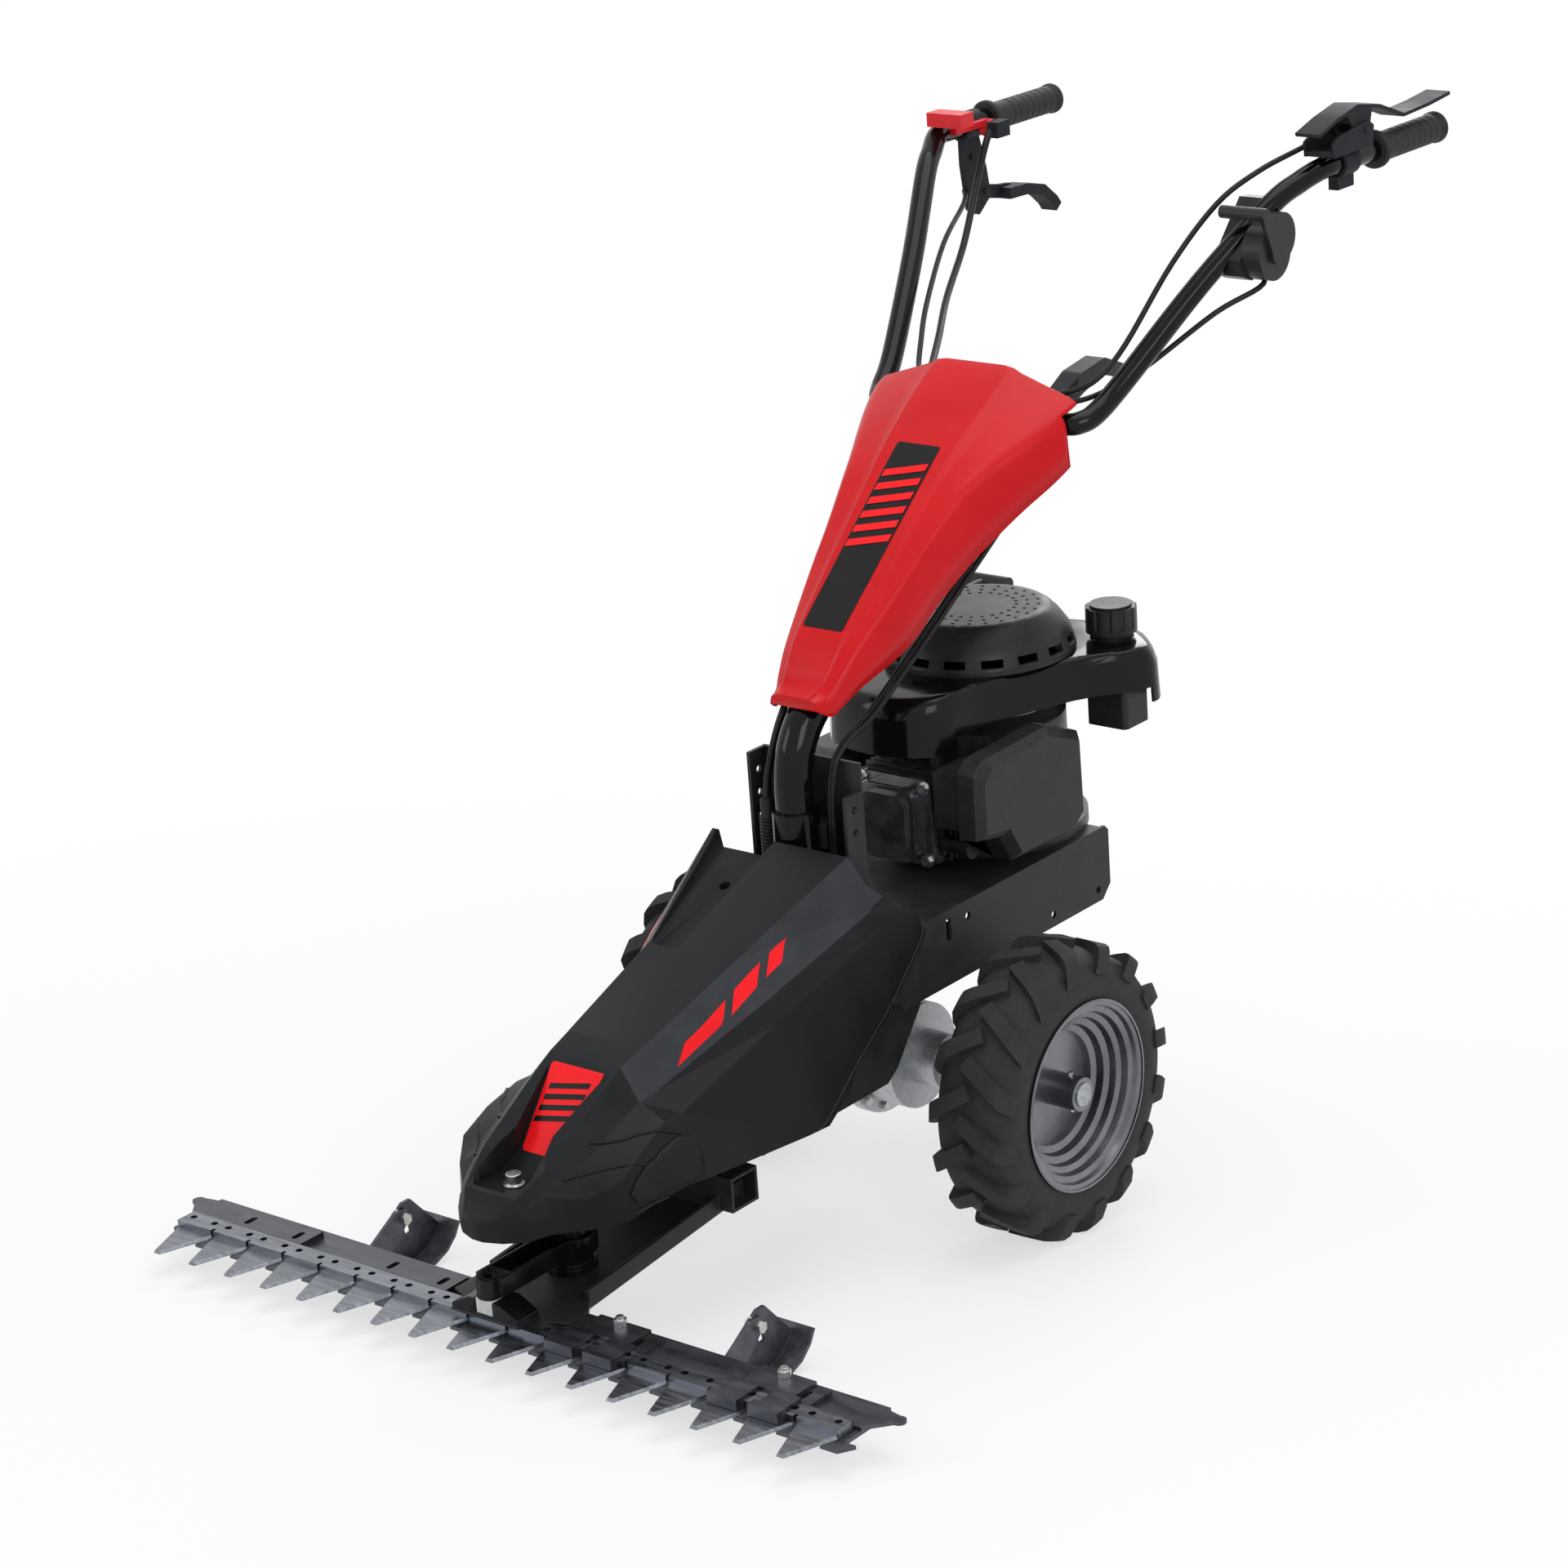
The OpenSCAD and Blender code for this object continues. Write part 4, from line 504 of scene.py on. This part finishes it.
shape.free()
for face in cover_mesh.polygons:
    face.use_smooth = True
cover_mesh.set_sharp_from_angle(angle=math.radians(crease_angle))
cover = mounted("column_cover_finished", cover_mesh, red_abs, "machine", slot_of["column_cover"],
                "column_cover")
wall = cover.modifiers.new("wall", "SOLIDIFY")
wall.thickness = cover_wall / 1000
wall.offset = -1


# Repeats one flat shape at even steps, as a row of printed bars
def in_a_row(name, mesh, count, step, material):
    tree = bpy.data.node_groups.new(name + "_row", "GeometryNodeTree")
    tree.interface.new_socket("Shape", in_out="INPUT", socket_type="NodeSocketGeometry")
    count_in = tree.interface.new_socket("Count", in_out="INPUT", socket_type="NodeSocketInt")
    step_in = tree.interface.new_socket("Step", in_out="INPUT", socket_type="NodeSocketVector")
    finish_in = tree.interface.new_socket("Finish", in_out="INPUT", socket_type="NodeSocketMaterial")
    tree.interface.new_socket("Row", in_out="OUTPUT", socket_type="NodeSocketGeometry")
    given = add(tree, "NodeGroupInput").outputs
    line = add(tree, "GeometryNodeMeshLine", {}, {"Count": given["Count"], "Offset": given["Step"]})
    row = add(tree, "GeometryNodeInstanceOnPoints", {},
              {"Points": line.outputs[0], "Instance": given["Shape"]})
    real = add(tree, "GeometryNodeRealizeInstances", {}, {0: row.outputs[0]})
    coated = add(tree, "GeometryNodeSetMaterial", {},
                 {"Geometry": real.outputs[0], "Material": given["Finish"]})
    add(tree, "NodeGroupOutput", {}, {0: coated.outputs[0]})
    stamp = bpy.data.objects.new(name + "_stamp", mesh)
    scene.collection.objects.link(stamp)
    maker = stamp.modifiers.new("row", "NODES")
    maker.node_group = tree
    maker[count_in.identifier] = count
    maker[step_in.identifier] = step
    maker[finish_in.identifier] = material
    made = bpy.data.meshes.new_from_object(stamp.evaluated_get(bpy.context.evaluated_depsgraph_get()))
    bpy.data.objects.remove(stamp)
    return made


# Flat film or panel cut to its outlines, with points close enough to follow the moulding under it
def flat_shape(name, outlines, cuts):
    shape = bmesh.new()
    for outline in outlines:
        face = shape.faces.new([shape.verts.new((p[0], p[1], 0)) for p in outline])
        bmesh.ops.triangulate(shape, faces=[face])
    bmesh.ops.subdivide_edges(shape, edges=shape.edges, cuts=cuts, use_grid_fill=True)
    mesh = bpy.data.meshes.new(name)
    shape.to_mesh(mesh)
    shape.free()
    return mesh


# Lays a flat print or panel on a moulding: each point is dropped on the skin, a hair aside of the
# moulding's middle line, and stands proud of it.
def stuck_on(mesh, skin, place, drop, proud_mm):
    aside_mm = 0.017
    for vertex in mesh.vertices:
        start = place(vertex.co.x + aside_mm, vertex.co.y + aside_mm)
        hit, normal, _, _ = skin.ray_cast(start, drop)
        if hit is None:
            hit, normal, _, _ = skin.find_nearest(start)
        if normal.dot(drop) > 0:
            normal = -normal
        vertex.co = hit + normal * (proud_mm / 1000)
    for face in mesh.polygons:
        face.use_smooth = True
    mesh.update()
    facing = sum((f.normal * f.area for f in mesh.polygons), Vector())
    if facing.dot(drop) > 0:
        mesh.flip_normals()
    return mesh


# Screen print on polyester film: even, half gloss
black_print = surface("black_print_film", "#0c0c0d", "#131314", 30, 0.3)
red_print = surface("red_print_film", "#f4181f", "#f91b22", 60, 0.3, spread=0.03)
# The flat's slope as its run and rise, the foot of the panel on it, and where films start to drop
flat_run, flat_rise = 0.77, 0.64
panel_y, panel_z = -58, 488
drop_height = 0.06
slope_down = (rearward * -flat_rise + deck_up * flat_run).normalized() * -1


def on_cover(across_mm, up_mm):
    on_flat = machine(across_mm, panel_y + up_mm * flat_run, panel_z + up_mm * flat_rise)
    return on_flat - slope_down * drop_height


# How far the panel and the bars stand off the moulding, in millimetres, and the row of bars
panel_proud, cover_bar_proud = 0.5, 1.15
cover_bar_count, cover_bar_step = 6, (0, 18, 0)
panel_edge = ((-24, 0), (24, 0), (26, 3), (28, 233), (26, 236), (-26, 236), (-28, 233), (-26, 3))
panel = flat_shape("cover_panel", [panel_edge], 14)
mounted("cover_panel", stuck_on(panel, outer_skin, on_cover, slope_down, panel_proud), black_print,
        "machine", slot_of["column_cover"])
cover_bar = flat_shape("cover_bar", [((-25, 100), (25, 114), (25, 123), (-25, 109))], 6)
cover_bars = in_a_row("cover_bars", cover_bar, cover_bar_count, cover_bar_step, red_print)
mounted("cover_bars", stuck_on(cover_bars, outer_skin, on_cover, slope_down, cover_bar_proud), red_print,
        "machine", slot_of["column_cover"])


# Hood: one grained dark ABS moulding over the drive, held at the nose by a socket bolt in its sunk
# front panel. The facet along each side is a shade lighter; prints, ribs and seams lie on the hood.
# ABS from a tool etched like leather: dull, with a pebbled grain
hood_abs = surface("grained_dark_abs", "#141517", "#1b1c1e", 35, 0.46, grain_mm=0.9, depth_mm=0.04,
                   cells=True, shine=0.14)
facet_abs = surface("grained_grey_abs", "#323337", "#3b3c41", 35, 0.5, grain_mm=0.9, depth_mm=0.04,
                    cells=True, shine=0.14)
hood = edged("hood", hood_abs, 3.2, sharp=14, steps=4, room_mm=8, soft=36)
hood.data.materials.append(facet_abs)
# Upper and lower line of the facet: distance from the axle, then half width and height of each line
facet_rows = ((-478, 46, 158, 66, 128), (-440, 48, 171, 67, 132), (-296, 57, 217, 90, 178),
              (-145, 91, 287, 110, 228), (-70, 103, 320, 116, 262))
# A face is on the facet if it lies between the lines, near enough to them, and leans outwards
facet_margin, facet_depth, least_lean = 0.02, 9, 0.3
for face in hood.data.polygons:
    offset = (face.center - axle_centre) * 1000
    half_width, back, height = abs(offset.x), offset.dot(rearward), offset.dot(deck_up)
    for first, last in zip(facet_rows, facet_rows[1:]):
        if first[0] <= back < last[0]:
            t = (back - first[0]) / (last[0] - first[0])
            x1, z1, x2, z2 = (p + (q - p) * t for p, q in zip(first[1:], last[1:]))
            up = (z1 - height) / (z1 - z2)
            off_plane = abs(half_width - x1 - (x2 - x1) * up)
            between = -facet_margin < up < 1 + facet_margin
            if between and off_plane < facet_depth and abs(face.normal.x) > least_lean:
                face.material_index = 1
hood_skin = BVHTree.FromObject(hood, bpy.context.evaluated_depsgraph_get())
edged("hood_bolt", zinc, 0.6)


both_sides = ((1, "left"), (-1, "right"))
clear_of_hood = 300


def on_hood_side(side):
    return lambda back_mm, up_mm: machine(side * clear_of_hood, back_mm, up_mm)


# Three plain slanted bars along each facet, every one shorter than the last: their ends, the slope of
# their middle line and its height over the axle, then each bar's half height, lean and stand-off
bar_ends = ((-404, -342), (-328, -287), (-273, -249))
bar_slope, bar_at_axle, bar_half, bar_lean, bar_proud = 0.385, 311, 9.5, 9, 0.35
for side, word in both_sides:
    bars = []
    for front, rear in bar_ends:
        low, high = front * bar_slope + bar_at_axle, rear * bar_slope + bar_at_axle
        bars.append(((front - bar_lean, low - bar_half), (rear - bar_lean, high - bar_half),
                     (rear + bar_lean, high + bar_half), (front + bar_lean, low + bar_half)))
    print_mesh = flat_shape("hood_bars_" + word, bars, 5)
    print_mesh = stuck_on(print_mesh, hood_skin, on_hood_side(side), across * -side, bar_proud)
    mounted("hood_bars_" + word, print_mesh, red_print, "machine", slot_of["hood"])


# The sunk nose panel's slope as its run and rise, and the point ahead of its foot where films start
nose_run, nose_rise = 0.717, 0.697
nose_y, nose_z = -592, 129
plate_proud, nose_bar_proud = 0.3, 0.55
nose_bar_count, nose_bar_step = 4, (0, 12, 0)


def on_nose(across_mm, up_mm):
    return machine(across_mm, nose_y + up_mm * nose_run, nose_z + up_mm * nose_rise)


nose_drop = (rearward * nose_rise - deck_up * nose_run).normalized()
plate_edge = ((-19, 3), (19, 3), (22, 7), (34, 96), (32, 99), (-32, 99), (-34, 96), (-22, 7))
plate = flat_shape("nose_panel", [plate_edge], 3)
mounted("nose_panel", stuck_on(plate, hood_skin, on_nose, nose_drop, plate_proud), red_print, "machine",
        slot_of["hood"])
nose_bar = flat_shape("nose_bar", [((-24, 34), (24, 44), (24, 50), (-24, 40))], 4)
nose_bars = in_a_row("nose_bars", nose_bar, nose_bar_count, nose_bar_step, black_print)
mounted("nose_bars", stuck_on(nose_bars, hood_skin, on_nose, nose_drop, nose_bar_proud), black_print,
        "machine", slot_of["hood"])
# Raised gill panel low on each wing, as distance from the axle and height round its edge
gill_edge = ((-531.5, 77.5), (-515.7, 86.3), (-489.5, 94.8), (-463.4, 99.1), (-445.7, 94.7), (-437.1, 85),
             (-443, 70.3), (-450, 58), (-481.4, 58), (-501.4, 57), (-534, 58), (-540, 67.2))
gill_proud, gill_wall = 2.4, 0.0032
for side, word in both_sides:
    gill = flat_shape("hood_gill_" + word, [gill_edge], 4)
    gill = stuck_on(gill, hood_skin, on_hood_side(side), across * -side, gill_proud)
    gill = mounted("hood_gill_" + word, gill, hood_abs, "machine", slot_of["hood"])
    rim = gill.modifiers.new("rim", "SOLIDIFY")
    rim.thickness = gill_wall
    rim.offset = -1
# Moulding lines and ribs: radius, plastic and points on the left side; the right side has the same
moulding_lines = {
    "seam": (0.6, facet_abs, ((130, -93, 207), (130, -88, 191), (130, -101, 170), (127, -168, 108),
                              (131, -261, 45), (133, -289, 41))),
    "upper_rib": (1.8, hood_abs, ((59, -538, 111), (80, -515, 110), (90, -496, 111), (104, -456, 99))),
    "middle_rib": (1.8, hood_abs, ((57, -579, 87), (76, -556, 91), (107, -510, 87))),
    "lower_rib": (1.6, hood_abs, ((110, -538, 48), (115, -514, 51), (119, -496, 52)))}
line_drop = 0.04
for side, word in both_sides:
    for label, (radius, plastic, points) in moulding_lines.items():
        inward = (across * -side - deck_up).normalized()
        lain = [hood_skin.ray_cast(point - inward * line_drop, inward)[0] or point
                for point in smooth([machine(side * x, y, z) for x, y, z in points], 6)]
        line_mesh = bent("hood_%s_%s" % (label, word), [(lain, radius / 1000)], 10)
        mounted("hood_%s_%s" % (label, word), line_mesh, plastic, "machine", slot_of["hood"])


# Starter rope: braided nylon, 5 mm across, knotted in the pull handle and wound on the reel in the
# dome. This is the stretch that the handle draws out.
# Braided nylon: dull black, with short plaits
rope_nylon = surface("braided_black_nylon", "#1c1c1d", "#2b2b2c", 3, 0.6, grain_mm=1.6, depth_mm=0.2,
                     stretch=(1, 2.5, 1))
rope_radius, rope_inner, rope_over_foot = 0.0026, 0.046, 0.0025
rope_step, rope_points = 0.006, 20
grip_low, grip_high = (Vector(corner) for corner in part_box("starter_grip"))
rope_start = Vector(((grip_low.x + grip_high.x) / 2, grip_low.y, grip_low.z))
rope_from = rope_start + deck_up * rope_over_foot - rearward * rope_inner
rope_line = [rope_from + rearward * step * rope_step for step in range(rope_points)]
rope = mounted("starter_rope", bent("starter_rope", [(rope_line, rope_radius)], 12), rope_nylon, "starter",
               slot_of["starter_grip"])


# Handlebar: one bent tube in gloss black paint, turning in the clamp on the column's end; ribbed
# rubber grips are pushed on its ends.
# Moulded grip rubber: dark grey, dull
grip_rubber = surface("moulded_grip_rubber", "#262627", "#323233", 12, 0.62, grain_mm=0.9, depth_mm=0.07)
edged("bar_clamp", powder_coat, 1.2)
edged("clamp_lever", satin_moulding, 1.5, sharp=30, steps=3)
bar_radius = 0.012
half_bar = [machine(*p) for p in ((60, 222, 650), (113, 222, 650), (122, 222.5, 650), (132, 228, 651.5),
                                  (141, 244, 658), (152, 280, 684), (190, 376, 773), (228, 456, 843),
                                  (243, 490, 862), (254, 514, 872), (258, 535, 874), (258, 600, 874),
                                  (258, 740, 874))]
bar_line = [Vector((-p.x, p.y, p.z)) for p in reversed(half_bar)] + half_bar
bar_mesh = bent("handlebar_finished", [(smooth(bar_line, 5), bar_radius)], 32)
mounted("handlebar_finished", bar_mesh, tube_paint, "handlebar", slot_of["handlebar"], "handlebar")
edged("grips", grip_rubber, 0.5)


# Hand controls: folded steel levers on their brackets, a red moulded stop lever and the throttle
# housing with its cross handle.
# Dip coat on sheet steel: grey-black, without shine
lever_coat = surface("grey_black_lever_coat", "#242528", "#303135", 18, 0.55, shine=0.06)
# Moulded nylon, dyed red: half gloss
red_lever = surface("red_lever_moulding", "#cf1f27", "#dc2c32", 30, 0.32, grain_mm=1.0, depth_mm=0.03)
for node in ("clutch_bracket", "clutch_lever", "drive_lever_bracket", "drive_lever"):
    edged(node, lever_coat, 0.9)
edged("stop_lever", red_lever, 2.0, steps=3)
edged("throttle_box", satin_moulding, 1.5)
edged("throttle_lever", satin_moulding, 1.2)


# Control cables: steel inner wires in black plastic outer casing, run from the levers into the cover
# and down the column. Each route has its radius and its points, from the lever or the cover on.
# Drawn plastic casing: black, half gloss
casing = surface("cable_casing_plastic", "#121213", "#1b1b1c", 20, 0.36, grain_mm=1.5, depth_mm=0.03)
upper_routes = {
    "clutch": (3, ((235.7, 536, 898), (234, 508, 894), (212, 462, 878), (186, 420, 850), (166, 360, 796),
                   (150, 290, 722), (136, 256, 692), (112, 240, 680), (84, 226, 676), (60, 210, 672))),
    "throttle": (3, ((238, 424, 767), (205, 380, 742), (152, 318, 690), (128, 268, 672), (108, 240, 668),
                     (76, 220, 669))),
    "drive": (3, ((-258, 566, 800), (-240, 540, 792), (-196, 440, 770), (-140, 330, 730), (-106, 272, 704),
                  (-84, 238, 688), (-60, 214, 684))),
    "stop": (4, ((-219.5, 569, 871), (-217, 554, 854), (-213, 530, 818), (-190, 470, 764), (-145, 374, 728),
                 (-102, 300, 706), (-68, 240, 690), (-50, 210, 684)))}
lower_routes = {
    "drive_left": (3, ((84, 150, 566), (70, 90, 512), (56, 20, 452), (46, -50, 400), (40, -84, 380),
                       (36, -104, 350), (35, -109, 280), (35, -110, 194.5))),
    "clutch_left": (3, ((92, 150, 566), (78, 90, 512), (64, 20, 452), (54, -50, 400), (44, -84, 380),
                        (40, -104, 350), (39, -109, 280), (39, -110, 194.5))),
    "front": (4, ((-27, -68, 438), (-27, -88, 419), (-30, -106, 389), (-37, -117, 345), (-38, -121, 316)))}
# The throttle cable starts this far up inside its box
inside_box = 0.02


def cable(label, radius, points):
    marks = [machine(*p) for p in points]
    if label == "throttle":
        low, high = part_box("throttle_box")
        marks.insert(0, Vector(((low[0] + high[0]) / 2, (low[1] + high[1]) / 2, low[2] + inside_box)))
    line = smooth(marks, 6)
    mesh = bent("cable_" + label, [(line, radius / 1000)], 14)
    mesh.materials.append(casing)
    piece = bpy.data.objects.new("cable_" + label, mesh)
    scene.collection.objects.link(piece)
    if label in upper_routes:
        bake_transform(piece)
        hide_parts("upper_cables")
    else:
        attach(piece, "machine")
        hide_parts("lower_cables")


for routes in (upper_routes, lower_routes):
    for label, (radius, points) in routes.items():
        cable(label, radius, points)
# Ribbed rubber boot over the front cable's lower end: every third ring is drawn in, and a plain neck
# closes on the casing
boot_x, boot_y, boot_foot, boot_pitch, boot_rings = -38, -121, 194.4, 1.3, 80
rib_radius, groove_radius, neck_radius, end_radius = 0.0094, 0.0083, 0.0075, 0.0062
boot_heights = [boot_foot + boot_pitch * k for k in range(boot_rings)] + [299, 316, 318]
boot_sizes = [rib_radius if k % 3 else groove_radius for k in range(boot_rings)]
boot_sizes += [neck_radius, neck_radius, end_radius]
boot_mesh = bent("cable_boot", [([machine(boot_x, boot_y, z) for z in boot_heights], boot_sizes)], 24)
mounted("cable_boot", boot_mesh, plug_rubber, "machine", slot_of["lower_cables"])

# The part's size after dressing
low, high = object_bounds()
